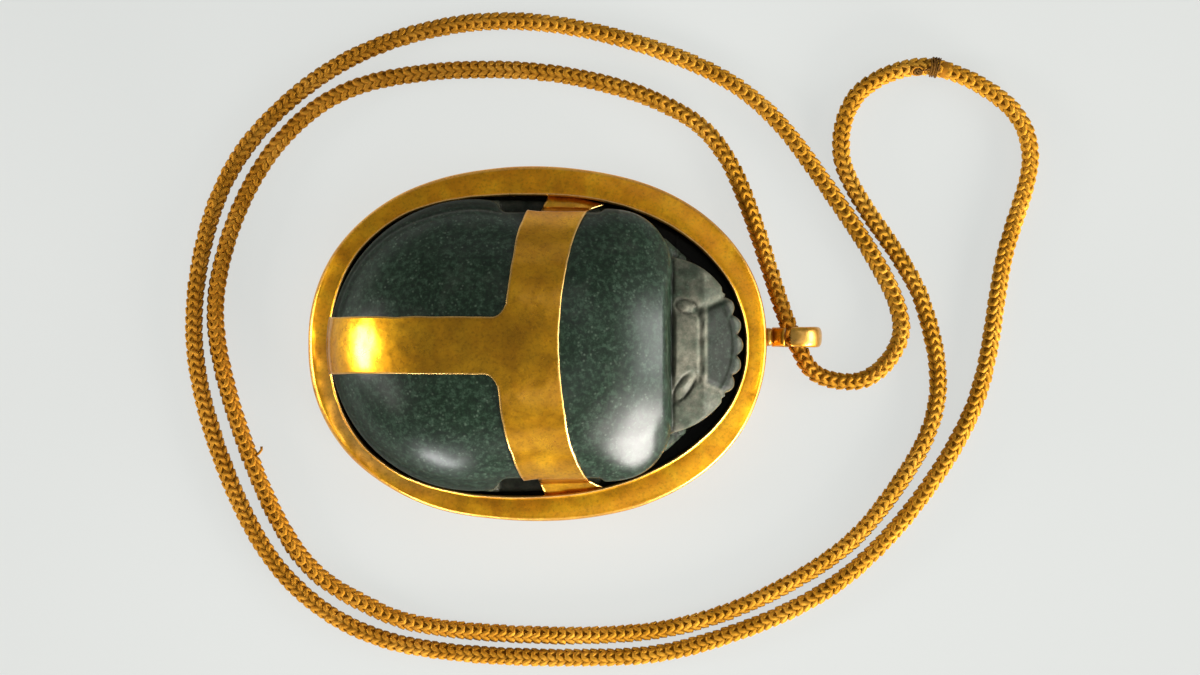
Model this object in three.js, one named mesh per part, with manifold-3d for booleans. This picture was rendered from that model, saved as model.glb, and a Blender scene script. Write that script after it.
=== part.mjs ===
// Heart scarab of dark green stone in a gold mount, with a gold T-shaped strap over its back,
// a suspension ring at the head end and a plaited gold chain threaded through the ring.
// Units: millimetres. +X points to the head, +Y to the scarab's left side, +Z up.
// The origin is the centre of the flat underside of the gold mount.
import * as THREE from 'three';
import { mergeVertices } from 'three/addons/utils/BufferGeometryUtils.js';
import Module from 'manifold-3d';

const wasm = await Module();
wasm.setup();

// ---------------------------------------------------------------- driving sizes
const CLEAR = 0.3;            // gap kept between neighbouring pieces
const AXIS_Y = -0.3;          // the scarab sits a little off the middle of its mount

const MOUNT_L = 68.5;         // gold mount, outside length
const MOUNT_W = 52.7;         // gold mount, outside width
const MOUNT_POW = 2.2;        // roundness of the oval
const MOUNT_H = 7.6;          // height of the raised rim
const SEAT_L = 63.2;          // opening inside the rim, length
const SEAT_W = 45.8;          // opening inside the rim, width
const SEAT_EGG = 0.075;       // the opening narrows towards the head
const SEAT_Y = -0.45;
const FLOOR_T = 0.9;          // thickness of the base plate

const WAIST_X = -5;           // x of the widest and highest part of the back
const TAIL_REACH = 25.4;      // from there to the tail
const BROW_REACH = 25.9;      // and forward, where the back would meet the widest line
const REAR_X = -9;            // centre of the rounded tail end in plan
const REAR_A = 21.4;
const REAR_W = 21.45;         // half width over the wing cases
const FRONT_W = 20.1;         // half width over the thorax
const SIDE_Z = 12;            // height of the widest line of the body
const BACK_Z = 27.7;          // top of the back
const BROW_X = 19.9;          // front edge of the thorax
const PLINTH_TOP = 3.9;       // top of the stone's own oval base

const HEAD_X = 17;            // centre of the rounded head plate
const HEAD_R = 13.0;
const TEETH = 5;              // teeth along the front of the head plate
const TOOTH_STEP = 13.7 * Math.PI / 180;
const HEAD_TOP = 17.0;        // height of the head plate at the thorax
const HEAD_FALL = 0.6;        // fall of the head plate per mm forward

const STRAP_T = 0.4;          // thickness of the sheet gold
const STRAP_GAP = 0.35;
const ARM_W = 8.2;            // width of the arm that runs to the tail

const RING_X = 38.5, RING_Y = 0.9, RING_Z = 4.15;
const RING_R = 3.95, RING_HOLE = 3.0, RING_BAND = 3.0;

const CHAIN_D = 2.9;          // diameter of the plaited chain
const CHAIN_Z = 1.5;          // height of its centre line where it lies
const CHAIN_STEPS = 80;

// ---------------------------------------------------------------- helpers
const pick = (v, a, b) => Math.min(b, Math.max(a, v));
const lerp = (a, b, t) => a + (b - a) * t;
const smooth = (t) => { t = pick(t, 0, 1); return t * t * (3 - 2 * t); };

// A closed skin through rings of equal count; a ring of one point is a pole.
function loft(rings) {
  const pos = [], idx = [], start = [];
  for (const r of rings) { start.push(pos.length / 3); for (const p of r) pos.push(p.x, p.y, p.z); }
  for (let k = 0; k + 1 < rings.length; k++) {
    const a = rings[k], b = rings[k + 1], n = Math.max(a.length, b.length), A = start[k], B = start[k + 1];
    for (let j = 0; j < n; j++) {
      const j1 = (j + 1) % n;
      if (a.length === 1) idx.push(A, B + j1, B + j);
      else if (b.length === 1) idx.push(A + j, A + j1, B);
      else idx.push(A + j, A + j1, B + j1, A + j, B + j1, B + j);
    }
  }
  const g = new THREE.BufferGeometry();
  g.setAttribute('position', new THREE.Float32BufferAttribute(pos, 3));
  g.setIndex(idx);
  return g;
}

// A thin sheet: rows of points on its underside and its upper side, closed round the edge.
function sheet(under, over) {
  const n = under.length, m = under[0].length, pos = [], idx = [];
  for (const g of [under, over]) for (const row of g) for (const p of row) pos.push(p.x, p.y, p.z);
  const U = (i, j) => i * m + j, O = (i, j) => n * m + i * m + j;
  for (let i = 0; i + 1 < n; i++) for (let j = 0; j + 1 < m; j++) {
    idx.push(O(i, j), O(i + 1, j), O(i + 1, j + 1), O(i, j), O(i + 1, j + 1), O(i, j + 1));
    idx.push(U(i, j), U(i + 1, j + 1), U(i + 1, j), U(i, j), U(i, j + 1), U(i + 1, j + 1));
  }
  const rim = [];
  for (let i = 0; i < n - 1; i++) rim.push([i, 0]);
  for (let j = 0; j < m - 1; j++) rim.push([n - 1, j]);
  for (let i = n - 1; i > 0; i--) rim.push([i, m - 1]);
  for (let j = m - 1; j > 0; j--) rim.push([0, j]);
  for (let k = 0; k < rim.length; k++) {
    const a = rim[k], b = rim[(k + 1) % rim.length];
    idx.push(U(...a), U(...b), O(...b), U(...a), O(...b), O(...a));
  }
  const g = new THREE.BufferGeometry();
  g.setAttribute('position', new THREE.Float32BufferAttribute(pos, 3));
  g.setIndex(idx);
  return g;
}

function volume(g) {
  const p = g.getAttribute('position'), ix = g.getIndex();
  const a = new THREE.Vector3(), b = new THREE.Vector3(), c = new THREE.Vector3();
  let v = 0;
  for (let i = 0; i < ix.count; i += 3) {
    a.fromBufferAttribute(p, ix.getX(i)); b.fromBufferAttribute(p, ix.getX(i + 1)); c.fromBufferAttribute(p, ix.getX(i + 2));
    v += a.dot(b.cross(c)) / 6;
  }
  return v;
}

function solid(geometry) {
  let g = geometry.clone();
  for (const name of Object.keys(g.attributes)) if (name !== 'position') g.deleteAttribute(name);
  g = mergeVertices(g, 1e-4);
  const ix = Uint32Array.from(g.getIndex().array);
  if (volume(g) < 0) for (let i = 0; i < ix.length; i += 3) [ix[i + 1], ix[i + 2]] = [ix[i + 2], ix[i + 1]];
  return new wasm.Manifold(new wasm.Mesh({
    numProp: 3, vertProperties: Float32Array.from(g.getAttribute('position').array), triVerts: ix,
  }));
}

function geometryOf(man) {
  const m = man.getMesh(), g = new THREE.BufferGeometry(), n = m.numProp, pos = [];
  for (let i = 0; i < m.vertProperties.length; i += n) pos.push(m.vertProperties[i], m.vertProperties[i + 1], m.vertProperties[i + 2]);
  g.setAttribute('position', new THREE.Float32BufferAttribute(pos, 3));
  g.setIndex(Array.from(m.triVerts));
  return g;
}

const union = (list) => list.map(solid).reduce((a, b) => a.add(b));

// ---------------------------------------------------------------- outlines
// Oval |x/a|^p + |y/b|^p = 1, its width growing by egg towards the tail; point at angle t.
function oval(t, a, b, p, egg, y0, inset = 0) {
  const c = Math.cos(t), s = Math.sin(t);
  const x = Math.sign(c) * Math.pow(Math.abs(c), 2 / p), y = Math.sign(s) * Math.pow(Math.abs(s), 2 / p);
  return new THREE.Vector2((a - inset) * x, y0 + (b - inset) * y * (1 - egg * x));
}
const mountEdge = (t, inset = 0) => oval(t, MOUNT_L / 2, MOUNT_W / 2, MOUNT_POW, 0, 0, inset);
const seatEdge = (t, inset = 0) => oval(t, SEAT_L / 2, SEAT_W / 2, 2.25, SEAT_EGG, SEAT_Y, inset);

// y of the seat's wall at x, on the side s.
function seatY(x, s) {
  const u = 2 * x / SEAT_L;
  return SEAT_Y + s * SEAT_W / 2 * (1 - SEAT_EGG * u) * Math.pow(1 - Math.pow(Math.abs(u), 2.25), 1 / 2.25);
}
// Half width of the body in plan at x.
function bodyHalf(x) {
  if (x < REAR_X) { const t = (x - REAR_X) / REAR_A; return REAR_W * Math.sqrt(Math.max(0, 1 - t * t)); }
  if (x < 8) return lerp(REAR_W, FRONT_W, smooth((x - REAR_X) / (1 - REAR_X)));
  const t = (x - 8) / 12.9;
  return FRONT_W * Math.pow(Math.max(0, 1 - Math.pow(t, 3.2)), 1 / 3.2);
}
// Height of the back at (x, y).
function backZ(x, y) {
  const t = x < WAIST_X ? (WAIST_X - x) / TAIL_REACH : (x - WAIST_X) / BROW_REACH, w = bodyHalf(x);
  if (t >= 1 || w <= 0) return SIDE_Z;
  const ridge = (BACK_Z - SIDE_Z) * Math.pow(1 - Math.pow(t, 2.5), 1 / 2.2);
  const v = Math.min(1, Math.abs(y - AXIS_Y) / w);
  return SIDE_Z + ridge * Math.pow(1 - Math.pow(v, 2.3), 1 / 2.1);
}
// Radius of the body outline from the waist in direction t.
function bodyRadius(t) {
  const c = Math.cos(t), s = Math.sin(t);
  let lo = 0, hi = 60;
  for (let i = 0; i < 40; i++) {
    const r = (lo + hi) / 2, x = WAIST_X + r * c;
    if (x > REAR_X - REAR_A && x < 20.9 && Math.abs(r * s) < bodyHalf(x)) lo = r; else hi = r;
  }
  return lo;
}
// Radius of the head plate in direction t from its centre: round cheeks, scalloped front.
function headRadius(t) {
  const k = t / TOOTH_STEP;
  if (Math.abs(k) > TEETH / 2) return HEAD_R + 0.35;
  return HEAD_R - 0.2 + 0.75 * Math.sqrt(Math.max(0, Math.cos(Math.PI * (k - Math.round(k)))));
}

// ---------------------------------------------------------------- the stone
function stoneSolid() {
  const N = 60, dirs = [...Array(N).keys()].map((i) => 2 * Math.PI * i / N);
  const at = (z, scale) => dirs.map((t) => {
    const r = bodyRadius(t) * scale;
    return new THREE.Vector3(WAIST_X + r * Math.cos(t), AXIS_Y + r * Math.sin(t), z);
  });
  const dome = (f) => dirs.map((t) => {
    const r = bodyRadius(t) * f, x = WAIST_X + r * Math.cos(t), y = AXIS_Y + r * Math.sin(t);
    return new THREE.Vector3(x, y, backZ(x, y));
  });
  const body = [[new THREE.Vector3(WAIST_X, AXIS_Y, 2.2)], at(2.2, 0.6), at(3.0, 0.86), at(8.2, 0.86), at(9.8, 0.93), at(11, 0.985), at(SIDE_Z, 1)];
  for (const deg of [12, 24, 36, 48, 60, 74]) body.push(dome(Math.cos(deg * Math.PI / 180)));
  body.push([new THREE.Vector3(WAIST_X, AXIS_Y, BACK_Z)]);

  const plinthRing = (z, inset) => dirs.map((t) => { const p = seatEdge(t, inset); return new THREE.Vector3(p.x, p.y, z); });
  const z0 = FLOOR_T + CLEAR;
  const plinth = [[new THREE.Vector3(0, SEAT_Y, z0)], plinthRing(z0, 1.0), plinthRing(z0 + 0.4, 0.6), plinthRing(PLINTH_TOP - 0.4, 0.6),
    plinthRing(PLINTH_TOP, 1.0), [new THREE.Vector3(0, SEAT_Y, PLINTH_TOP)]];

  // Head plate: a wedge that falls towards the front, on a neck that stands on the base.
  const arc = [];
  for (let i = 0; i < 48; i++) arc.push(2 * Math.PI * i / 48);
  const front = TEETH / 2 * TOOTH_STEP, angles = arc.filter((t) => Math.abs(t > Math.PI ? t - 2 * Math.PI : t) > front + 0.02);
  for (let i = 0; i <= TEETH * 8; i++) angles.push(-front + i * 2 * front / (TEETH * 8));
  angles.sort((a, b) => (a < -front - 1e-6 ? a + 2 * Math.PI : a) - (b < -front - 1e-6 ? b + 2 * Math.PI : b));
  const headAt = (scale, zf) => angles.map((t) => {
    const r = headRadius(t > Math.PI ? t - 2 * Math.PI : t) * scale;
    const x = HEAD_X + r * Math.cos(t), y = AXIS_Y + r * Math.sin(t);
    return new THREE.Vector3(x, y, zf(x, y));
  });
  const headTop = (x, y) => HEAD_TOP - HEAD_FALL * Math.max(0, x - BROW_X) - 0.012 * (y - AXIS_Y) ** 2;
  const head = [[new THREE.Vector3(HEAD_X, AXIS_Y, 3)], headAt(0.86, () => 3), headAt(0.86, () => 7.0), headAt(1, (x, y) => Math.min(8.2, headTop(x, y) - 1)),
    headAt(1, (x, y) => headTop(x, y) - 0.7), headAt(0.95, headTop), headAt(0.6, headTop), [new THREE.Vector3(HEAD_X, AXIS_Y, headTop(HEAD_X, AXIS_Y))]];

  // Crescent of the brow and an eye on each side of the head.
  const extras = [];
  for (const side of [1, -1]) {
    const eye = new THREE.SphereGeometry(1.5, 10, 8);
    eye.scale(1.1, 0.8, 0.7);
    eye.rotateZ(side * 0.5);
    eye.translate(22.0, AXIS_Y + side * 6.6, headTop(22.0, AXIS_Y + 6.6) + 0.1);
    extras.push(eye);
  }
  // Legs: low bars carved along the sides, between the body and the base.
  const leg = (x0, y0, z0_, x1, y1, z1, r) => {
    const a = new THREE.Vector3(x0, y0, z0_), b = new THREE.Vector3(x1, y1, z1);
    return new THREE.ExtrudeGeometry(
      new THREE.Shape([...Array(8).keys()].map((i) => new THREE.Vector2(r * Math.cos(i * Math.PI / 4), r * Math.sin(i * Math.PI / 4)))),
      { steps: 1, bevelEnabled: false, extrudePath: new THREE.LineCurve3(a, b) });
  };
  const legs = [];
  for (const s of [1, -1]) {
    legs.push(leg(9, AXIS_Y + s * 17.0, 9.5, 19, AXIS_Y + s * 13.0, 5.2, 1.7));
    legs.push(leg(4, AXIS_Y + s * 17.6, 9.6, -6, AXIS_Y + s * 18.2, 5.2, 1.7));
    legs.push(leg(-10, AXIS_Y + s * 17.6, 9.6, -21, AXIS_Y + s * 12.6, 5.0, 1.7));
  }

  const tool = (h, x, y, r) => {
    const c = new THREE.CylinderGeometry(r, r, h, 48);
    c.rotateX(Math.PI / 2);
    c.translate(x, y, 0);
    return c;
  };
  let man = union([loft(body)]);
  // The front of the thorax ends in a steep face at the brow.
  const cut = new THREE.BoxGeometry(20, 60, 40);
  cut.rotateY(-0.12);
  cut.translate(BROW_X + 10.1, 0, 12 + 20);
  man = man.subtract(solid(cut));
  man = man.add(union([loft(plinth)])).add(union([loft(head)]));
  for (const g of [...extras, ...legs]) man = man.add(solid(g));
  // Recess in each flank between the wing cases and the thorax.
  for (const s of [1, -1]) {
    const notch = tool(30, 1.5, AXIS_Y + s * (19.2 + 12), 12);
    notch.translate(0, 0, PLINTH_TOP + 15);
    man = man.subtract(solid(notch));
  }
  return geometryOf(man);
}

// ---------------------------------------------------------------- the gold mount
function mountSolid() {
  const N = 72, dirs = [...Array(N).keys()].map((i) => 2 * Math.PI * i / N);
  const outer = (inset, z) => dirs.map((t) => { const p = mountEdge(t, inset); return new THREE.Vector3(p.x, p.y, z); });
  const inner = (inset, z) => dirs.map((t) => { const p = seatEdge(t, inset); return new THREE.Vector3(p.x, p.y, z); });
  const rings = [[new THREE.Vector3(0, 0, 0)], outer(0.7, 0), outer(0.25, 0.5), outer(0.05, 2.5), outer(0, 5.2), outer(0.15, 6.6), outer(0.6, MOUNT_H - 0.25),
    outer(1.3, MOUNT_H), inner(-0.5, MOUNT_H - 0.35), inner(0, MOUNT_H - 0.75), inner(0, FLOOR_T), [new THREE.Vector3(0, SEAT_Y, FLOOR_T)]];
  return loft(rings);
}

// ---------------------------------------------------------------- the T-shaped strap
// A point on the back and the direction that faces away from it.
function backPoint(x, y, off) {
  const e = 0.02, z = backZ(x, y);
  const n = new THREE.Vector3(-(backZ(x + e, y) - backZ(x - e, y)) / (2 * e), -(backZ(x, y + e) - backZ(x, y - e)) / (2 * e), 1).normalize();
  return new THREE.Vector3(x, y, z).addScaledVector(n, off);
}
function strapSolid() {
  const lo = STRAP_GAP, hi = STRAP_GAP + STRAP_T;
  // Arm over the middle of the back to both flanks; its two edges curve apart towards the ends.
  const headEdge = (a) => 3.05 + 5.4 * Math.pow(a, 1.45), tailEdge = (a) => -5.1 + 3.7 * Math.pow(a, 1.3);
  const rows = { under: [], over: [] }, cols = [0, 0.25, 0.5, 0.75, 1];
  const half = [4, 14, 24, 34, 44, 53, 61, 68, 74, 80];
  const foot = (s, k) => {
    // k = 0 at the fold, k = 1 where the foot meets the wall of the mount.
    return cols.map((c) => {
      const x = lerp(lerp(1.3, 2.4, k), lerp(8.2, 10.6, k), c), wall = seatY(x, s) - s * (CLEAR + 0.05 + STRAP_T);
      return new THREE.Vector3(x, lerp(AXIS_Y + s * 20.5, wall, k), lerp(12.4, 6.6, k));
    });
  };
  const station = (s, deg) => cols.map((c) => {
    const a = Math.sin(deg * Math.PI / 180), x = lerp(tailEdge(a), headEdge(a), c);
    return [x, AXIS_Y + s * a * (bodyHalf(x) - 0.05)];
  });
  const push = (pts) => {
    rows.under.push(pts.map(([x, y]) => backPoint(x, y, lo)));
    rows.over.push(pts.map(([x, y]) => backPoint(x, y, hi)));
  };
  const pushFoot = (s, k) => {
    const p = foot(s, k);
    rows.under.push(p.map((q) => q.clone()));
    rows.over.push(p.map((q) => q.clone().add(new THREE.Vector3(0, s * STRAP_T, 0.1))));
  };
  pushFoot(1, 1); pushFoot(1, 0);
  for (const d of [...half].reverse()) push(station(1, d));
  for (const d of half) push(station(-1, d));
  pushFoot(-1, 0); pushFoot(-1, 1);
  const cross = sheet(rows.under.map((r) => r.slice().reverse()), rows.over.map((r) => r.slice().reverse()));

  // Arm along the back to the tail.
  const tail = { under: [], over: [] }, sides = [-1, -0.5, 0, 0.5, 1];
  const tipX = (v) => REAR_X - REAR_A * Math.sqrt(1 - (v * ARM_W / 2 / REAR_W) ** 2);
  for (const deg of [2, 12, 22, 32, 42, 52, 61, 69, 76, 82]) {
    const pts = sides.map((v) => [lerp(WAIST_X + 1, tipX(v), Math.sin(deg * Math.PI / 180)), AXIS_Y + v * ARM_W / 2]);
    tail.under.push(pts.map(([px, py]) => backPoint(px, py, lo)));
    tail.over.push(pts.map(([px, py]) => backPoint(px, py, hi)));
  }
  for (const k of [0, 1]) {
    const p = sides.map((v) => new THREE.Vector3(tipX(v) - lerp(0.35, 0.4, k), AXIS_Y + v * ARM_W / 2, lerp(12.4, 6.6, k)));
    tail.under.push(p.map((q) => q.clone()));
    tail.over.push(p.map((q) => q.clone().add(new THREE.Vector3(-0.32, 0, 0.1))));
  }
  const along = sheet(tail.under, tail.over);
  return geometryOf(union([cross, along]));
}

// ---------------------------------------------------------------- the suspension ring
function ringSolid() {
  const b = RING_BAND / 2, profile = [[RING_HOLE, -b + 0.35], [RING_HOLE + 0.3, -b], [RING_R - 0.5, -b], [RING_R, -b + 0.6], [RING_R, b - 0.6], [RING_R - 0.5, b],
    [RING_HOLE + 0.3, b], [RING_HOLE, b - 0.35], [RING_HOLE, -b + 0.35]].map(([x, y]) => new THREE.Vector2(x, y));
  const ring = new THREE.LatheGeometry(profile, 28);
  ring.translate(RING_X, RING_Y, RING_Z);
  // Short collar soldered to the wall of the mount.
  const collar = new THREE.BoxGeometry(0.9, 2.5, 4.2);
  collar.translate(MOUNT_L / 2 + CLEAR + 0.45, RING_Y, RING_Z + 0.1);
  return geometryOf(union([ring, collar]));
}

// ---------------------------------------------------------------- the chain
// Route of the chain's centre line as it lies, from the ring round and back to the ring.
const ROUTE = [[38.0, 1.1], [27.3, 29.2], [19.0, 35.7], [-2.1, 40.8], [-27.8, 38.1], [-38.9, 29.8], [-46.4, 15.4], [-48.0, 0.4], [-35.7, -31.7], [-25.0, -39.5],
  [-16.0, -42.4], [20.2, -42.6], [42.2, -33.3], [51.5, -24.6], [59.6, -9.5], [57.5, 6.3], [45.5, 27.9], [47.9, 37.2], [57.9, 41.4], [70.7, 35.3],
  [73.7, 28.4], [69.9, 13.1], [64.5, -11.3], [46.4, -34.7], [23.7, -45.2], [7.9, -47.1], [-23.8, -44.1], [-37.3, -35.4], [-46.7, -19.1], [-51.5, 2.5],
  [-46.4, 25.0], [-33.3, 39.4], [-16.6, 46.8], [2.5, 47.7], [29.8, 38.4], [42.8, 24.1], [54.4, 2.1], [49.4, -5.2], [41.7, -4.7], [38.0, 1.1]];
const RISE = RING_Z - 0.75;                                 // centre line where it passes through the ring's hole
const plan = new THREE.CatmullRomCurve3(ROUTE.map(([x, y]) => new THREE.Vector3(x, y, 0)), false, 'centripetal');
const BIND = { x: 59.2, y: 41.5 };                          // where the chain's two ends are tied together
class Lie extends THREE.Curve {
  constructor(from, to) { super(); this.from = from; this.to = to; }
  getPoint(t, target = new THREE.Vector3()) {
    const p = plan.getPointAt(lerp(this.from, this.to, t));
    const toRing = Math.hypot(p.x - RING_X, p.y - RING_Y), toTie = Math.hypot(p.x - BIND.x, p.y - BIND.y);
    const z = CHAIN_Z + (RISE - CHAIN_Z) * smooth(1 - (toRing - 2.5) / 17) + 0.75 * smooth(1 - (toTie - 4) / 14);
    return target.set(p.x, p.y, z);
  }
}
// The two ends of the modelled stretch stop just short of each other inside the ring.
function lieOf() {
  const half = CLEAR / 2 / plan.getLength();
  return new Lie(half, 1 - half);
}
function chainSolid() {
  const section = new THREE.Shape([...Array(8).keys()].map((i) => {
    const a = (i + 0.5) * Math.PI / 4, r = CHAIN_D / 2;
    return new THREE.Vector2(r * Math.cos(a), r * Math.sin(a));
  }));
  return new THREE.ExtrudeGeometry(section, { steps: CHAIN_STEPS, bevelEnabled: false, extrudePath: lieOf() });
}
function bindingSolid() {
  const r0 = CHAIN_D / 2 + CLEAR, r1 = r0 + 0.35, h = 1.2;
  const profile = [[r0, -h], [r1, -h], [r1, h], [r0, h], [r0, -h]].map(([x, y]) => new THREE.Vector2(x, y));
  return new THREE.LatheGeometry(profile, 16);
}

// ---------------------------------------------------------------- the object
const material = (color, roughness, metalness) => new THREE.MeshStandardMaterial({ color, roughness, metalness });
const stone = material(0x2e3d36, 0.35, 0.0);
const gold = material(0xc8922a, 0.3, 1.0);
const strapGold = material(0xd09a2e, 0.28, 1.0);
const chainGold = material(0xb07f2c, 0.4, 1.0);
const thread = material(0x3a2a18, 0.8, 0.0);

const object = new THREE.Group();
function piece(name, geometry, mat) {
  const mesh = new THREE.Mesh(geometry, mat);
  mesh.name = name;
  object.add(mesh);
  return mesh;
}
piece('scarab_stone', stoneSolid(), stone);
piece('gold_mount', mountSolid(), gold);
piece('t_strap', strapSolid(), strapGold);
piece('suspension_ring', ringSolid(), gold);
piece('chain', chainSolid(), chainGold);
const tie = piece('chain_tie', bindingSolid(), thread);
{
  // The tie sits on the chain, square to its run.
  const pts = lieOf().getSpacedPoints(CHAIN_STEPS), spot = new THREE.Vector3(BIND.x, BIND.y, 0);
  let near = Infinity;
  for (let i = 0; i < CHAIN_STEPS; i++) {
    const run = new THREE.Vector3().subVectors(pts[i + 1], pts[i]), len = run.length();
    const k = pick(new THREE.Vector3().subVectors(spot, pts[i]).dot(run) / (len * len), 2 / len, 1 - 2 / len);
    const p = pts[i].clone().addScaledVector(run, k), d = Math.hypot(p.x - spot.x, p.y - spot.y);
    if (d < near) { near = d; tie.position.copy(p); tie.quaternion.setFromUnitVectors(new THREE.Vector3(0, 1, 0), run.normalize()); }
  }
}

export default object;
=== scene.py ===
"""Looks for the scarab amulet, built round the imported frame. Lengths here are in millimetres unless a name says otherwise."""
import math

import bpy
import numpy as np
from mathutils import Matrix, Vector


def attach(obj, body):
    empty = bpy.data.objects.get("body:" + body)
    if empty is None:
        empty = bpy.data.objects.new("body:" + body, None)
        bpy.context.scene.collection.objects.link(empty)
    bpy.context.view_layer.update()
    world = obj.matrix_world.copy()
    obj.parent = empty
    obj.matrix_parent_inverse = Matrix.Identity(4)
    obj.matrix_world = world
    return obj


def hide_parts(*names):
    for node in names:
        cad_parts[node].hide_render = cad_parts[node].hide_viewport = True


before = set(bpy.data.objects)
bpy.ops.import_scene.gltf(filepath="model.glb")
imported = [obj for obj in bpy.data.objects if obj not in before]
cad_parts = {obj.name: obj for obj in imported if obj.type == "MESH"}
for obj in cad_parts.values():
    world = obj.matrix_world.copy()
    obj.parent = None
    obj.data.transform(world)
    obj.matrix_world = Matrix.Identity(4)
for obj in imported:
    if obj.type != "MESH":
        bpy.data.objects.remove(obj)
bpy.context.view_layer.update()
MM = 0.001

# ------------------------------------------------------------------ camera
EYE = (9.3, 0.825, 800.0)           # straight above the table
cam_data = bpy.data.cameras.new("camera")
cam_data.sensor_width = 36.0
cam_data.lens = 160.0               # 180 mm of table across the frame
cam_data.clip_start = 0.01
cam_data.clip_end = 20.0
camera = bpy.data.objects.new("camera", cam_data)
camera.location = tuple(v * MM for v in EYE)
camera.rotation_euler = (0.0, 0.0, 0.0)
bpy.context.scene.collection.objects.link(camera)
bpy.context.scene.camera = camera

# ------------------------------------------------------------------ sizes shared with the CAD
AXIS_Y = -0.3
MOUNT_L, MOUNT_W, MOUNT_POW, MOUNT_H = 68.5, 52.7, 2.2, 7.6
SEAT_L, SEAT_W, SEAT_EGG, SEAT_Y, SEAT_POW = 63.2, 45.8, 0.075, -0.45, 2.25
FLOOR_T = 0.9
WAIST_X, TAIL_REACH, BROW_REACH = -5.0, 25.4, 25.9
REAR_X, REAR_A, REAR_W, FRONT_W = -9.0, 21.4, 21.45, 20.1
SIDE_Z, BACK_Z, BROW_X, PLINTH_TOP = 15.5, 27.7, 19.4, 3.9
HEAD_X, HEAD_R, TEETH, TOOTH_STEP = 17.0, 13.0, 5, math.radians(13.7)
RING_X, RING_Y, RING_Z, RING_R, RING_HOLE, RING_BAND = 38.5, 0.9, 4.15, 3.95, 3.0, 3.0
CHAIN_D, CHAIN_Z = 2.9, 1.5
ROUTE = [[38.0, 1.1], [27.3, 29.2], [19.0, 35.7], [-2.1, 40.8], [-27.8, 38.1], [-38.9, 29.8], [-46.4, 15.4], [-48.0, 0.4], [-35.7, -31.7], [-25.0, -39.5],
         [-16.0, -42.4], [20.2, -42.6], [42.2, -33.3], [51.5, -24.6], [59.6, -9.5], [57.5, 6.3], [45.5, 27.9], [47.9, 37.2], [57.9, 41.4], [70.7, 35.3],
         [73.7, 28.4], [69.9, 13.1], [64.5, -11.3], [46.4, -34.7], [23.7, -45.2], [7.9, -47.1], [-23.8, -44.1], [-37.3, -35.4], [-46.7, -19.1], [-51.5, 2.5],
         [-46.4, 25.0], [-33.3, 39.4], [-16.6, 46.8], [2.5, 47.7], [29.8, 38.4], [42.8, 24.1], [54.4, 2.1], [49.4, -5.2], [41.7, -4.7], [38.0, 1.1]]
BIND = (59.2, 41.5)


# ------------------------------------------------------------------ small tools
def smooth01(t):
    t = np.clip(t, 0.0, 1.0)
    return t * t * (3 - 2 * t)


def lerp(a, b, t):
    return a + (b - a) * t


def smin(a, b, k):
    h = np.clip(0.5 + 0.5 * (b - a) / k, 0, 1)
    return b + (a - b) * h - k * h * (1 - h)


def smax(a, b, k):
    return -smin(-a, -b, k)


def _hash(ix, iy, iz, seed):
    h = (ix.astype(np.int64) * 374761393 + iy.astype(np.int64) * 668265263 + iz.astype(np.int64) * 2147483647 + seed * 1274126177) & 0x7FFFFFFF
    h = ((h ^ (h >> 13)) * 1103515245 + 12345) & 0x7FFFFFFF
    h = ((h ^ (h >> 15)) * 1181783497) & 0x7FFFFFFF
    return (h & 0xFFFFFF) / float(0xFFFFFF)


def noise(x, y, z, size, seed=0):
    """Smooth noise from -1 to 1; size is its grain in mm."""
    x, y, z = np.broadcast_arrays(np.asarray(x, float) / size, np.asarray(y, float) / size, np.asarray(z, float) / size)
    x0, y0, z0 = np.floor(x), np.floor(y), np.floor(z)
    fx, fy, fz = smooth01(x - x0), smooth01(y - y0), smooth01(z - z0)
    out = 0.0
    for dx in (0, 1):
        for dy in (0, 1):
            for dz in (0, 1):
                w = (fx if dx else 1 - fx) * (fy if dy else 1 - fy) * (fz if dz else 1 - fz)
                out = out + w * _hash(x0 + dx, y0 + dy, z0 + dz, seed)
    return out * 2 - 1


def make_mesh(name, verts, faces, materials, smooth=True, mat_index=None):
    """verts in mm (n, 3); faces an int array (m, 3 or 4), or a list of such arrays."""
    arrays = faces if isinstance(faces, list) else [faces]
    arrays = [np.asarray(a, np.int32) for a in arrays if len(a)]
    loops = np.concatenate([a.ravel() for a in arrays])
    totals = np.concatenate([np.full(len(a), a.shape[1], np.int32) for a in arrays])
    starts = np.concatenate([[0], np.cumsum(totals)[:-1]]).astype(np.int32)
    me = bpy.data.meshes.new(name)
    me.vertices.add(len(verts))
    me.vertices.foreach_set("co", (np.asarray(verts, float) * MM).astype(np.float32).ravel())
    me.loops.add(len(loops))
    me.loops.foreach_set("vertex_index", loops)
    me.polygons.add(len(totals))
    me.polygons.foreach_set("loop_start", starts)
    me.polygons.foreach_set("loop_total", totals)
    if mat_index is not None:
        me.polygons.foreach_set("material_index", np.asarray(mat_index, np.int32))
    me.update(calc_edges=True)
    me.validate()
    me.polygons.foreach_set("use_smooth", np.full(len(me.polygons), bool(smooth)))
    for m in materials:
        me.materials.append(m)
    ob = bpy.data.objects.new(name, me)
    bpy.context.scene.collection.objects.link(ob)
    return ob


def vertex_value(ob, name, values):
    at = ob.data.attributes.new(name, "FLOAT", "POINT")
    at.data.foreach_set("value", np.asarray(values, np.float32))


def grid_faces(n, m, wrap_n=False, wrap_m=False, base=0):
    """Quads of an n by m grid of points stored row by row."""
    i = np.arange(n if wrap_n else n - 1)
    j = np.arange(m if wrap_m else m - 1)
    I, J = np.meshgrid(i, j, indexing="ij")
    I1, J1 = (I + 1) % n, (J + 1) % m
    q = np.stack([I * m + J, I1 * m + J, I1 * m + J1, I * m + J1], -1).reshape(-1, 4)
    return q + base


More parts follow.
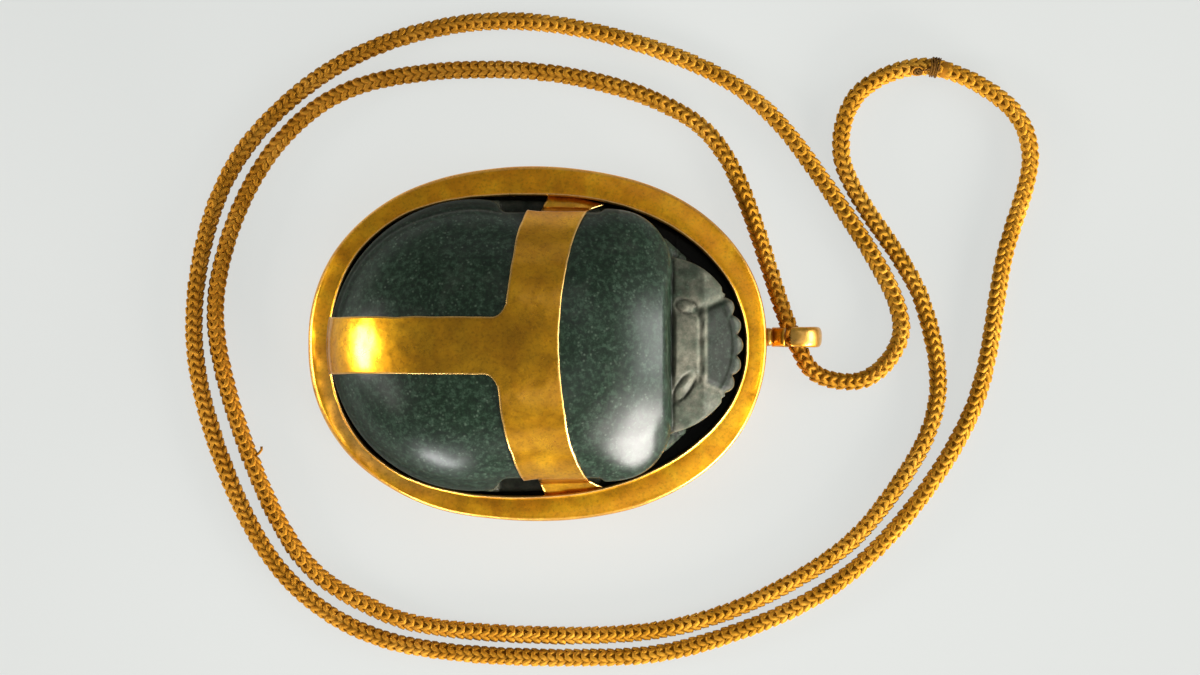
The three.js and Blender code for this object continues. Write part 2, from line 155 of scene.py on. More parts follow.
# ------------------------------------------------------------------ outlines
def oval(t, a, b, p, egg, y0, inset=0.0):
    c, s = np.cos(t), np.sin(t)
    x = np.sign(c) * np.abs(c) ** (2 / p)
    y = np.sign(s) * np.abs(s) ** (2 / p)
    return (a - inset) * x, y0 + (b - inset) * y * (1 - egg * x)


def mount_edge(t, inset=0.0):
    return oval(t, MOUNT_L / 2, MOUNT_W / 2, MOUNT_POW, 0, 0, inset)


def seat_edge(t, inset=0.0):
    return oval(t, SEAT_L / 2, SEAT_W / 2, SEAT_POW, SEAT_EGG, SEAT_Y, inset)


def seat_y(x, s):
    u = 2 * x / SEAT_L
    return SEAT_Y + s * SEAT_W / 2 * (1 - SEAT_EGG * u) * (1 - np.abs(u) ** SEAT_POW) ** (1 / SEAT_POW)


def body_half(x):
    x = np.asarray(x, float)
    rear = REAR_W * np.sqrt(np.clip(1 - ((x - REAR_X) / REAR_A) ** 2, 0, None))
    mid = lerp(REAR_W, FRONT_W, smooth01((x - REAR_X) / (1 - REAR_X)))
    front = FRONT_W * np.clip(1 - np.clip((x - 8) / 12.9, 0, None) ** 3.2, 0, None) ** (1 / 3.2)
    return np.where(x < REAR_X, rear, np.where(x < 8, mid, front))


def back_z(x, y):
    x, y = np.asarray(x, float), np.asarray(y, float)
    t = np.clip(np.where(x < WAIST_X, (WAIST_X - x) / TAIL_REACH, (x - WAIST_X) / BROW_REACH), 0, 1)
    w = np.maximum(body_half(x), 1e-3)
    t = np.where(x > 8, t - 0.5 * np.clip(t - 0.502, 0, None) ** 2, t)
    ridge = (BACK_Z - SIDE_Z) * np.clip(1 - t ** 2.5, 0, None) ** 0.65
    v = np.clip(np.abs(y - AXIS_Y) / w, 0, 1)
    return SIDE_Z + ridge * (1 - v ** 2.2) ** 0.65


def back_point(x, y, off):
    """A point off mm above the back, square to it."""
    e = 0.02
    z = back_z(x, y)
    n = np.stack([-(back_z(x + e, y) - back_z(x - e, y)) / (2 * e), -(back_z(x, y + e) - back_z(x, y - e)) / (2 * e), np.ones_like(z)], -1)
    n /= np.linalg.norm(n, axis=-1, keepdims=True)
    return np.stack([x, y, z], -1) + n * np.asarray(off)[..., None], n


# ------------------------------------------------------------------ materials
def new_material(name):
    m = bpy.data.materials.new(name)
    m.use_nodes = True
    nt = m.node_tree
    nt.nodes.clear()
    out = nt.nodes.new("ShaderNodeOutputMaterial")
    bsdf = nt.nodes.new("ShaderNodeBsdfPrincipled")
    nt.links.new(bsdf.outputs[0], out.inputs[0])
    return m, nt, bsdf


class Nodes:
    """Short hand for wiring a node tree."""

    def __init__(self, nt):
        self.nt = nt
        self.coord = nt.nodes.new("ShaderNodeTexCoord").outputs["Object"]

    def link(self, a, b):
        self.nt.links.new(a, b)

    def noise(self, size_mm, detail=2.0, rough=0.5, distort=0.0, stretch=None):
        n = self.nt.nodes.new("ShaderNodeTexNoise")
        n.inputs["Scale"].default_value = 1000.0 / size_mm
        n.inputs["Detail"].default_value = detail
        n.inputs["Roughness"].default_value = rough
        n.inputs["Distortion"].default_value = distort
        src = self.coord
        if stretch:
            mp = self.nt.nodes.new("ShaderNodeMapping")
            mp.inputs["Scale"].default_value = stretch
            self.link(self.coord, mp.inputs["Vector"])
            src = mp.outputs[0]
        self.link(src, n.inputs["Vector"])
        return n.outputs["Fac"]

    def voronoi(self, size_mm, feature="F1", randomness=1.0):
        n = self.nt.nodes.new("ShaderNodeTexVoronoi")
        n.feature = feature
        n.inputs["Scale"].default_value = 1000.0 / size_mm
        n.inputs["Randomness"].default_value = randomness
        self.link(self.coord, n.inputs["Vector"])
        return n.outputs["Distance"]

    def attr(self, name):
        n = self.nt.nodes.new("ShaderNodeAttribute")
        n.attribute_name = name
        return n.outputs["Fac"]

    def ramp(self, fac, stops, interp="LINEAR"):
        n = self.nt.nodes.new("ShaderNodeValToRGB")
        n.color_ramp.interpolation = interp
        el = n.color_ramp.elements
        while len(el) < len(stops):
            el.new(0.5)
        for e, (pos, col) in zip(el, stops):
            e.position = pos
            e.color = (*col, 1.0) if len(col) == 3 else col
        self.link(fac, n.inputs[0])
        return n.outputs["Color"]

    def range(self, fac, a, b, c, d, clamp=True):
        n = self.nt.nodes.new("ShaderNodeMapRange")
        n.clamp = clamp
        for k, v in zip(("From Min", "From Max", "To Min", "To Max"), (a, b, c, d)):
            n.inputs[k].default_value = v
        self.link(fac, n.inputs["Value"])
        return n.outputs["Result"]

    def mix(self, fac, a, b, blend="MIX"):
        n = self.nt.nodes.new("ShaderNodeMix")
        n.data_type = "RGBA"
        n.blend_type = blend
        for sock, v in ((n.inputs[0], fac), (n.inputs[6], a), (n.inputs[7], b)):
            if isinstance(v, (int, float)):
                sock.default_value = v
            elif isinstance(v, tuple):
                sock.default_value = (*v, 1.0)
            else:
                self.link(v, sock)
        return n.outputs[2]

    def math(self, op, a, b=0.0):
        n = self.nt.nodes.new("ShaderNodeMath")
        n.operation = op
        for sock, v in zip(n.inputs, (a, b)):
            if isinstance(v, (int, float)):
                sock.default_value = v
            else:
                self.link(v, sock)
        return n.outputs[0]

    def bump(self, height, strength, dist_mm, normal=None):
        n = self.nt.nodes.new("ShaderNodeBump")
        n.inputs["Strength"].default_value = strength
        n.inputs["Distance"].default_value = dist_mm * MM
        self.link(height, n.inputs["Height"])
        if normal is not None:
            self.link(normal, n.inputs["Normal"])
        return n.outputs["Normal"]


def gold_material(name, dark, mid, light, rough=(0.24, 0.4), patina=0.5, dents=0.35, pits=0.3, coat=0.12, cloud=7.0):
    """Old sheet gold: uneven colour, brown in the hollows from patina and painted shade, paler on rubbed edges from
    rubbing and a painted glint.
    """
    m, nt, b = new_material(name)
    g = Nodes(nt)
    broad = g.noise(cloud, 3.0, 0.55, 0.4)
    fine = g.noise(0.9, 3.0, 0.6)
    tint = g.ramp(broad, [(0.28, dark), (0.5, mid), (0.74, light)])
    grime = g.range(g.noise(2.4, 4.0, 0.65, 0.6), 0.45, 0.72, 0.0, patina)
    tint = g.mix(grime, tint, tuple(0.68 * c * f for c, f in zip(mid, (1.0, 0.80, 0.6))))
    # paler cream on edges and rubbed stretches: worn gold, partly a painted glint
    wear_and_glint = g.attr("wear_and_glint")
    tint = g.mix(g.math("MULTIPLY", wear_and_glint, 0.75), tint, (0.98, 0.66, 0.27))
    # dark brown in hollows, seams, undersides and inside the mount: patina and dirt, partly painted shade
    tint = g.mix(g.math("MULTIPLY", g.attr("grime_and_shade"), 0.9), tint, (0.07, 0.028, 0.006))
    g.link(tint, b.inputs["Base Color"])
    b.inputs["Metallic"].default_value = 1.0
    b.inputs["Coat Weight"].default_value = coat
    b.inputs["Coat Roughness"].default_value = 0.18
    grain = g.range(g.noise(0.42, 3.0, 0.6), 0.36, 0.64, 0.80, 1.16, False)
    tint = g.mix(1.0, tint, g.ramp(grain, [(0.0, (0, 0, 0)), (1.0, (1, 1, 1))]), "MULTIPLY")
    g.link(tint, b.inputs["Base Color"])
    r = g.range(g.noise(3.2, 4.0, 0.6), 0.3, 0.7, rough[0], rough[1])
    r = g.math("ADD", r, g.math("MULTIPLY", fine, 0.06))
    g.link(r, b.inputs["Roughness"])
    n1 = g.bump(g.noise(2.6, 2.0, 0.5), dents, 0.10)
    n2 = g.bump(fine, dents * 0.8, 0.02, n1)
    spots = g.range(g.voronoi(1.3), 0.0, 0.16, 0.0, 1.0)
    n3 = g.bump(spots, pits, 0.03, n2)
    scr = g.noise(0.5, 2.0, 0.5, 0.0, (0.12, 1.0, 1.0))
    n4 = g.bump(scr, 0.12, 0.01, n3)
    g.link(n4, b.inputs["Normal"])
    return m


def stone_material():
    m, nt, b = new_material("green_stone")
    g = Nodes(nt)
    broad = g.noise(8.0, 4.0, 0.6, 0.8)
    base = g.ramp(broad, [(0.3, (0.0044, 0.0123, 0.0056)), (0.52, (0.0069, 0.0178, 0.0084)), (0.75, (0.0112, 0.0238, 0.0126))])
    mott = g.ramp(g.noise(0.85, 6.0, 0.72, 0.2), [(0.38, (0.002, 0.005, 0.0025)), (0.5, (0.0076, 0.0200, 0.0092)), (0.62, (0.036, 0.068, 0.042))])
    col = g.mix(0.62, base, mott)
    speck = g.range(g.voronoi(0.58), 0.0, 0.42, 1.0, 0.0)
    speck = g.math("MULTIPLY", speck, g.range(g.noise(1.1, 2.0), 0.50, 0.62, 0.0, 1.0))
    col = g.mix(g.math("MULTIPLY", speck, 0.6), col, (0.115, 0.165, 0.115))
    blots = g.range(g.voronoi(1.5), 0.0, 0.4, 1.0, 0.0)
    blots = g.math("MULTIPLY", blots, g.range(g.noise(2.6, 2.0), 0.48, 0.6, 0.0, 1.0))
    col = g.mix(g.math("MULTIPLY", blots, 0.5), col, (0.004, 0.009, 0.005))
    film = g.range(g.noise(5.5, 4.0, 0.65, 0.5), 0.52, 0.75, 0.0, 0.22)
    col = g.mix(film, col, (0.06, 0.066, 0.052))
    dusty = g.mix(g.range(g.noise(0.7, 5.0, 0.7), 0.32, 0.68, 0.0, 1.0), (0.148, 0.147, 0.108), (0.335, 0.305, 0.232))
    dusty = g.mix(g.range(g.noise(2.2, 3.0), 0.5, 0.62, 0.0, 0.5), dusty, (0.10, 0.125, 0.088))
    # the steep border of the wing cases darkened: painted shade
    col = g.mix(g.math("MULTIPLY", g.attr("margin"), 0.55), col, (0.003, 0.0055, 0.003))
    # dusty carving, kept darker on the clypeus as painted shade
    col = g.mix(g.math("MULTIPLY", g.attr("dust_and_shade"), 0.85), col, dusty)
    # paler grey on convex edges: rubbed stone, partly a painted highlight
    col = g.mix(g.math("MULTIPLY", g.attr("wear_and_glint"), 0.4), col, (0.15, 0.15, 0.12))
    # near black in hollows, low down inside the mount and on the clypeus: dirt in the hollows, and painted shade
    col = g.mix(g.math("MULTIPLY", g.attr("grime_and_shade"), 0.92), col, (0.009, 0.007, 0.0055))
    g.link(col, b.inputs["Base Color"])
    r = g.range(g.noise(2.2, 4.0, 0.65), 0.3, 0.7, 0.29, 0.40)
    r = g.math("ADD", r, g.math("MULTIPLY", g.attr("matt"), 0.22))
    r = g.math("ADD", r, g.math("MULTIPLY", g.attr("margin"), 0.34))
    g.link(r, b.inputs["Roughness"])
    b.inputs["Specular IOR Level"].default_value = 0.22
    b.inputs["IOR"].default_value = 1.42
    g.link(g.range(g.attr("matt"), 0.0, 1.0, 0.34, 0.04), b.inputs["Coat Weight"])
    b.inputs["Coat Roughness"].default_value = 0.24
    b.inputs["Coat IOR"].default_value = 1.5
    n1 = g.bump(g.noise(1.2, 3.0, 0.6), 0.25, 0.02)
    n2 = g.bump(g.range(g.voronoi(0.9), 0.0, 0.12, 0.0, 1.0), 0.22, 0.025, n1)
    g.link(n2, b.inputs["Normal"])
    g.link(g.bump(g.noise(1.8, 3.0, 0.55), 0.14, 0.02), b.inputs["Coat Normal"])
    return m


def thread_material():
    m, nt, b = new_material("tie_thread")
    g = Nodes(nt)
    f = g.noise(0.35, 3.0, 0.6)
    g.link(g.ramp(f, [(0.3, (0.065, 0.026, 0.004)), (0.7, (0.18, 0.080, 0.014))]), b.inputs["Base Color"])
    b.inputs["Roughness"].default_value = 0.8
    b.inputs["Specular IOR Level"].default_value = 0.08
    g.link(g.bump(g.noise(0.2, 2.0), 0.5, 0.03), b.inputs["Normal"])
    return m


def chain_material(name, dark, mid, light, rough):
    m, nt, b = new_material(name)
    g = Nodes(nt)
    col = g.ramp(g.noise(6.0, 3.0, 0.6), [(0.3, dark), (0.5, mid), (0.72, light)])
    col = g.mix(g.range(g.noise(0.7, 3.0, 0.6), 0.5, 0.72, 0.0, 0.5), col, tuple(0.55 * c for c in dark))
    # browner near the ring (tarnished) and towards the upper left (painted shade)
    col = g.mix(g.math("MULTIPLY", g.attr("tarnish_and_shade"), 0.8), col, (0.42, 0.165, 0.016))
    # darker where wires dive in and on the core inside the plait: painted shade
    col = g.mix(g.math("MULTIPLY", g.attr("grime_and_shade"), 0.5), col, (0.18, 0.07, 0.010))
    g.link(col, b.inputs["Base Color"])
    b.inputs["Metallic"].default_value = 1.0
    g.link(g.range(g.noise(1.3, 3.0, 0.6), 0.3, 0.7, rough[0], rough[1]), b.inputs["Roughness"])
    g.link(g.bump(g.noise(0.4, 2.0), 0.35, 0.02), b.inputs["Normal"])
    return m


STONE = stone_material()
MOUNT = gold_material("mount_gold", (0.75, 0.285, 0.007), (0.90, 0.395, 0.009), (1.0, 0.52, 0.016), dents=0.55, pits=0.2, coat=0.3, cloud=4.2)
STRAP = gold_material("strap_gold", (0.54, 0.238, 0.005), (0.66, 0.305, 0.007), (0.78, 0.39, 0.012), rough=(0.22, 0.35), dents=0.6, pits=0.55, coat=0.42)
RING = gold_material("ring_gold", (0.66, 0.30, 0.014), (0.80, 0.385, 0.022), (0.90, 0.48, 0.04), patina=0.6, coat=0.45)
CHAIN = chain_material("chain_gold", (0.49, 0.240, 0.018), (0.61, 0.325, 0.034), (0.72, 0.42, 0.064), (0.70, 0.86))
CHAIN_CORE_SHADED = chain_material("chain_core_shaded", (0.46, 0.21, 0.014), (0.57, 0.275, 0.022), (0.66, 0.335, 0.033), (0.6, 0.78))
THREAD = thread_material()


# ------------------------------------------------------------------ the stone
ang = np.linspace(-math.pi, math.pi, 1441)


def _body_radius_table():
    lo, hi = np.zeros_like(ang), np.full_like(ang, 60.0)
    for _ in range(45):
        r = (lo + hi) / 2
        x = WAIST_X + r * np.cos(ang)
        ok = (x > REAR_X - REAR_A) & (x < 20.9) & (np.abs(r * np.sin(ang)) < body_half(x))
        lo, hi = np.where(ok, r, lo), np.where(ok, hi, r)
    return lo


BODY_R = _body_radius_table()


def body_g(x, Y, z):
    t = np.where(x < WAIST_X, (WAIST_X - x) / TAIL_REACH, (x - WAIST_X) / BROW_REACH)
    over = np.clip(t - 0.9995, 0, None) * 25
    t = np.clip(t, 0, 0.9995)
    t = np.where(x > 8, t - 0.5 * np.clip(t - 0.502, 0, None) ** 2, t)
    w = np.maximum(body_half(x), 0.3)
    ridge = np.maximum((BACK_Z - SIDE_Z) * (1 - t ** 2.5) ** 0.65, 0.3)
    side = (np.abs(Y) / w) ** 2.2
    up = (np.clip(z - SIDE_Z, 0, None) / ridge) ** (1 / 0.65)
    down = (np.clip(SIDE_Z - z, 0, None) / 8.0) ** 3
    return side + up + down - 1 + over


def body_dist(x, Y, z):
    e = 0.03
    g = body_g(x, Y, z)
    gx = (body_g(x + e, Y, z) - g) / e
    gy = (body_g(x, Y + e, z) - g) / e
    gz = (body_g(x, Y, z + e) - g) / e
    return np.clip(g / np.sqrt(gx * gx + gy * gy + gz * gz + 1e-6), -6, 12)


def capsule(x, y, z, a, b, r0, r1):
    a, b = np.array(a, float), np.array(b, float)
    d = b - a
    t = np.clip(((x - a[0]) * d[0] + (y - a[1]) * d[1] + (z - a[2]) * d[2]) / d.dot(d), 0, 1)
    return np.sqrt((x - a[0] - t * d[0]) ** 2 + (y - a[1] - t * d[1]) ** 2 + (z - a[2] - t * d[2]) ** 2) - lerp(r0, r1, t)


def bell(d, w):
    """1 on the line, 0 beyond w."""
    return np.clip(1 - (d / w) ** 2, 0, None) ** 2


def seg_dist(x, y, a, b):
    dx, dy = b[0] - a[0], b[1] - a[1]
    t = np.clip(((x - a[0]) * dx + (y - a[1]) * dy) / (dx * dx + dy * dy), 0, 1)
    return np.hypot(x - a[0] - t * dx, y - a[1] - t * dy)


def head_top(x, Y):
    """Height of the top of the head plate, with its carving."""
    A = np.abs(Y)
    u = x - 19.4
    h = 16.8 - 0.20 * np.clip(u, -2, None) - 0.46 * np.clip(x - 24.6, 0, None) - 0.015 * A * A
    # valley behind the head, against the thorax
    h = h - 0.3 * bell(x - 19.75, 0.7)
    # raised plate between the eyes
    plate = smooth01((24.1 - x) / 0.5) * smooth01((x - 20.0) / 0.6) * smooth01((5.0 - 0.2 * (x - 20.5) - A) / 0.8)
    h = h + 0.26 * plate
    # suture across the front of that plate: a groove, then a low worn ridge
    along = smooth01((5.7 - A) / 0.8)
    h = h - 0.16 * bell(x - 23.9, 0.36) * along
    h = h + 0.24 * bell(x - 24.75, 0.42) * along * (0.55 + 0.45 * np.cos(Y * 1.9 + 0.6))
    h = h + 0.22 * bell(np.hypot((x - 24.9) * 0.9, Y - 0.4), 0.8) + 0.16 * bell(np.hypot(x - 25.0, Y + 1.9), 0.7)
    # cheeks, divided from the front by a valley that runs out from the eye
    d = seg_dist(x, A, (23.7, 5.0), (25.4, 6.0))
    d = np.minimum(d, seg_dist(x, A, (25.4, 6.0), (28.3, 7.2)))
    h = h - 0.42 * bell(d, 1.0) - 0.2 * bell(seg_dist(x, A, (20.3, 7.7), (23.7, 5.0)), 0.9)
    h = h - 0.28 * smooth01((A - 7.4 - 0.18 * (x - 23)) / 2.0) + 0.3 * bell(np.hypot((x - 22.9) * 0.6, A - 9.9), 3.6)
    # eyes: one round and one leaf-shaped swelling, each in a fine groove
    for cx, cy, an, la, lb in ((21.9, 5.7, -0.25, 1.15, 0.72), (21.7, -6.1, 0.96, 1.9, 0.74)):
        c, q = math.cos(an), math.sin(an)
        ex, ey = (x - cx) * c + (Y - cy) * q, -(x - cx) * q + (Y - cy) * c
        e = np.hypot(ex / la, ey / lb)
        h = h + 0.36 * bell(e, 1.15) - 0.24 * bell(e - 1.34, 0.32)
    # short nicks running back from the notches between the front teeth
    th = np.arctan2(Y, x - HEAD_X) / TOOTH_STEP
    r = np.hypot(x - HEAD_X, Y)
    k = np.floor(th) + 0.5
    away = np.abs(th - k) * TOOTH_STEP * r
    h = h - 0.25 * bell(away, 0.45) * smooth01((r - 11.9) / 0.9) * (np.abs(k) < 2.6)
    h = h + 0.16 * smooth01((r - 11.6) / 0.5) * smooth01((7.4 - A) / 1.0)
    h = h + 0.05 * noise(x, Y, 0, 1.6, 6) + 0.03 * noise(x, Y, 0, 0.7, 7)
    return h


def head_radius(t):
    k = t / TOOTH_STEP
    tooth = HEAD_R - 0.42 + 0.92 * np.clip(np.cos(np.pi * (k - np.round(k))), 0, None) ** 0.8
    cheek = HEAD_R + 0.3 - 0.35 * bell(np.abs(t) - math.radians(37.0), math.radians(3.2)) + 0.22 * bell(t - math.radians(55), math.radians(24))
    return np.where(np.abs(k) > TEETH / 2, cheek, tooth)


CHIPS = [(-5.6, 21.3, 12.8, 1.5), (-6.6, -21.6, 12.4, 1.3), (-15.2, 20.6, 13.0, 0.6), (19.4, -15.3, 13.8, 0.9), (27.0, -7.9, 12.2, 0.55), (20.6, 13.8, 12.5, 0.6),
         (10.5, -20.6, 12.5, 0.5), (-27.3, 12.1, 11.5, 0.6), (29.3, 3.0, 11.8, 0.35)]


def stone_f(x, y, z):
    """Signed distance, near enough: negative inside the stone."""
    Y = y - AXIS_Y
    A = np.abs(Y)
    back = body_dist(x, Y, z)
    # soft joint line where the wing cases meet the thorax, and the line between the wing cases; mostly under the strap
    back = back + 0.22 * bell(x + 0.6 - 0.004 * Y * Y, 0.55) * (z > SIDE_Z - 2) + 0.16 * bell(Y, 0.4) * (x < -0.6) * (z > SIDE_Z)
    # the brow: rounded front edge of the thorax, then a steep face
    zc = SIDE_Z + 7.1 * (1 - np.clip(A / 20.1, 0, 1) ** 2.2) ** 0.65
    back = smax(back, 0.63 * (x - 16.5) + 0.777 * (z - zc - 0.25), 2.0)
    back = smax(back, 0.63 * (0.766 * x + 0.643 * A - 23.85) + 0.777 * (z - 17.0), 2.0)
    back = smax(back, -(x + 30.36), 0.3)
    face = (x - (BROW_X + 0.05 + 0.03 * np.clip(A - 9, 0, None)) + 0.12 * (z - 18)) / 1.01
    back = smax(back, face, 0.9)
    th = np.arctan2(Y, x - WAIST_X)
    R = np.interp(th, ang, BODY_R)
    rho = np.hypot(x - WAIST_X, Y)
    # a fine border runs round the wing cases, widest beside the thorax
    inset = lerp(0.55, 1.5, smooth01((x + 27) / 14))
    rim_in = (R - rho) - inset
    back = back + (0.12 * bell(rim_in, 0.36) - 0.06 * bell(rim_in - 0.42, 0.42)) * (0.7 + 0.3 * np.sign(Y)) * smooth01((-4.6 - x) / 1.5) * smooth01((rho - 10) / 4) * (z > SIDE_Z - 1)
    core = smax(rho - 0.86 * R, np.maximum(z - 11.0, 2.2 - z), 0.8)
    f = smin(back, core, 1.0)
    # flank: below the border of the wing cases the stone swells out again, nearly to the mount
    fu = np.abs(x) / (SEAT_L / 2 - 1.35)
    fv = np.abs(y - SEAT_Y) / ((SEAT_W / 2 - 1.25) * (1 - SEAT_EGG * x / (SEAT_L / 2)))
    fq = (fu ** SEAT_POW + fv ** SEAT_POW + 1e-9) ** (1 / SEAT_POW)
    fd = (fq - 1) * 24.0 / np.maximum(fq, 0.6)
    flank = smax(smax(fd, (z - 8.6 - 0.55 * np.clip(-fd, 0, 4.5)) / 1.1, 1.1), 2.5 - z, 0.5)
    low = smax(smax(fd, (z - 6.1) / 1.1, 0.9), 2.5 - z, 0.5)
    flank = smin(smax(flank, x + 5.6, 0.5), smax(low, x - 9.5, 0.8), 0.3)
    flank = smax(flank, -smax(smax(x + 29.9, A - 4.8, 0.3), 5.8 - z, 0.3), 0.3)     # where the strap comes down
    f = smin(f, flank, 0.25)
    # head plate on its neck
    hr = np.hypot(x - HEAD_X, Y)
    ht = np.arctan2(Y, x - HEAD_X)
    top = (z - head_top(x, Y)) / 1.12
    plate = smax(smax(hr - head_radius(ht), top, 0.55), 8.4 - z, 0.8)
    neck = smax(smax(hr - 11.3, z - 10.5, 0.8), 2.5 - z, 0.3)
    f = smin(f, smin(plate, neck, 0.8), 0.35)
    # legs along the flanks, each with two cut lines
    legs = 9.0
    for a, b, r0, r1 in (((18.2, 14.4, 8.3), (21.2, 12.6, 7.5), 1.6, 0.9), ((9.5, 17.2, 9.6), (19.0, 14.0, 5.6), 1.9, 1.3), ((19.0, 14.0, 5.6), (25.5, 9.4, 4.6), 1.3, 0.9),
                         ((4.5, 17.6, 9.8), (-6.0, 18.4, 5.4), 1.9, 1.2), ((-6.0, 18.4, 5.4), (-12.5, 17.3, 4.6), 1.2, 0.8),
                         ((-9.5, 17.8, 9.8), (-20.5, 13.0, 5.4), 2.0, 1.2), ((-20.5, 13.0, 5.4), (-26.0, 7.5, 4.6), 1.2, 0.8)):
        legs = np.minimum(legs, capsule(x, A, z, a, b, r0, r1))
    legs = legs + 0.16 * (np.sin(x * 3.1 + z * 2.2) > 0.82) * (z < 10)
    f = smin(f, legs, 0.45)
    # recess in each flank between the wing cases and the thorax
    cut = smax(smax(-5.0 - x - 0.75 * (A - 19.6), x - 9.6 - 0.5 * (A - 19.6), 0.4), 19.5 - A, 0.7)
    f = smax(f, -smax(cut, 7.3 - z, 0.7), 0.45)
    # the oval base
    u = np.abs(x) / (SEAT_L / 2 - 0.6)
    v = np.abs(y - SEAT_Y) / ((SEAT_W / 2 - 0.6) * (1 - SEAT_EGG * x / (SEAT_L / 2)))
    q = (u ** SEAT_POW + v ** SEAT_POW + 1e-9) ** (1 / SEAT_POW)
    base = smax((q - 1) * 24.0 / np.maximum(q, 0.6), np.maximum(z - PLINTH_TOP, FLOOR_T + 0.05 - z), 0.7)
    f = smin(f, base, 0.5)
    for cx, cy, cz, r in CHIPS:
        near = (np.abs(x - cx) < r + 0.6) & (np.abs(y - cy) < r + 0.6) & (np.abs(z - cz) < r + 0.6)
        if near.any():
            d = r * 0.8 - np.sqrt((x - cx) ** 2 + (y - cy) ** 2 + (z - cz) ** 2) + 0.1 * noise(x, y, z, 0.7, 5)
            f = np.where(near, smax(f, d, 0.18), f)
    return f


def surface_nets(F, xs, ys, zs):
    nx, ny, nz = F.shape
    neg = F < 0
    count = np.zeros((nx - 1, ny - 1, nz - 1), np.int8)
    for dx in (0, 1):
        for dy in (0, 1):
            for dz in (0, 1):
                count += neg[dx:nx - 1 + dx, dy:ny - 1 + dy, dz:nz - 1 + dz]
    cells = np.argwhere((count > 0) & (count < 8))
    index = np.full(count.shape, -1, np.int64)
    index[tuple(cells.T)] = np.arange(len(cells))
    corner = {}
    for dx in (0, 1):
        for dy in (0, 1):
            for dz in (0, 1):
                corner[dx, dy, dz] = F[cells[:, 0] + dx, cells[:, 1] + dy, cells[:, 2] + dz]
    acc, num = np.zeros((len(cells), 3)), np.zeros(len(cells))
    for axis in range(3):
        for p in (0, 1):
            for q in (0, 1):
                a, b = [p, q], [p, q]
                a.insert(axis, 0)
                b.insert(axis, 1)
                f0, f1 = corner[tuple(a)], corner[tuple(b)]
                cross = (f0 < 0) != (f1 < 0)
                t = np.where(cross, f0 / np.where(cross, f0 - f1, 1), 0)
                pos = np.tile(np.array(a, float), (len(cells), 1))
                pos[:, axis] = t
                acc[cross] += pos[cross]
                num += cross
    local = acc / num[:, None]
    verts = np.empty_like(local)
    for axis, g in enumerate((xs, ys, zs)):
        c = cells[:, axis]
        verts[:, axis] = g[c] + local[:, axis] * (g[c + 1] - g[c])
    quads = []
    for axis in range(3):
        n0 = neg.take(range(0, neg.shape[axis] - 1), axis)
        n1 = neg.take(range(1, neg.shape[axis]), axis)
        e = np.argwhere(n0 != n1)
        o = [k for k in range(3) if k != axis]
        ok = (e[:, o[0]] > 0) & (e[:, o[1]] > 0) & (e[:, o[0]] < F.shape[o[0]] - 1) & (e[:, o[1]] < F.shape[o[1]] - 1)
        e = e[ok]
        inside = n0[tuple(e.T)]
        four = []
        for d0, d1 in ((-1, -1), (0, -1), (0, 0), (-1, 0)):
            c = e.copy()
            c[:, o[0]] += d0
            c[:, o[1]] += d1
            four.append(index[tuple(c.T)])
        four = np.stack(four, 1)
        flip = inside if axis != 1 else ~inside
        four[~flip] = four[~flip][:, ::-1]
        quads.append(four)
    return verts, np.concatenate(quads)


def margin_matt_and_shade(v):
    """How far a point lies down the steep border of the wing cases, where the polish never reached; the colour is
    darkened there as painted shade.
    """
    Y = v[:, 1] - AXIS_Y
    th = np.arctan2(Y, v[:, 0] - WAIST_X)
    inside = np.interp(th, ang, BODY_R) - np.hypot(v[:, 0] - WAIST_X, Y)
    return (1 - smooth01((inside - 0.3) / 2.4)) * smooth01((v[:, 2] - 12) / 2) * smooth01((4 - v[:, 0]) / 6)


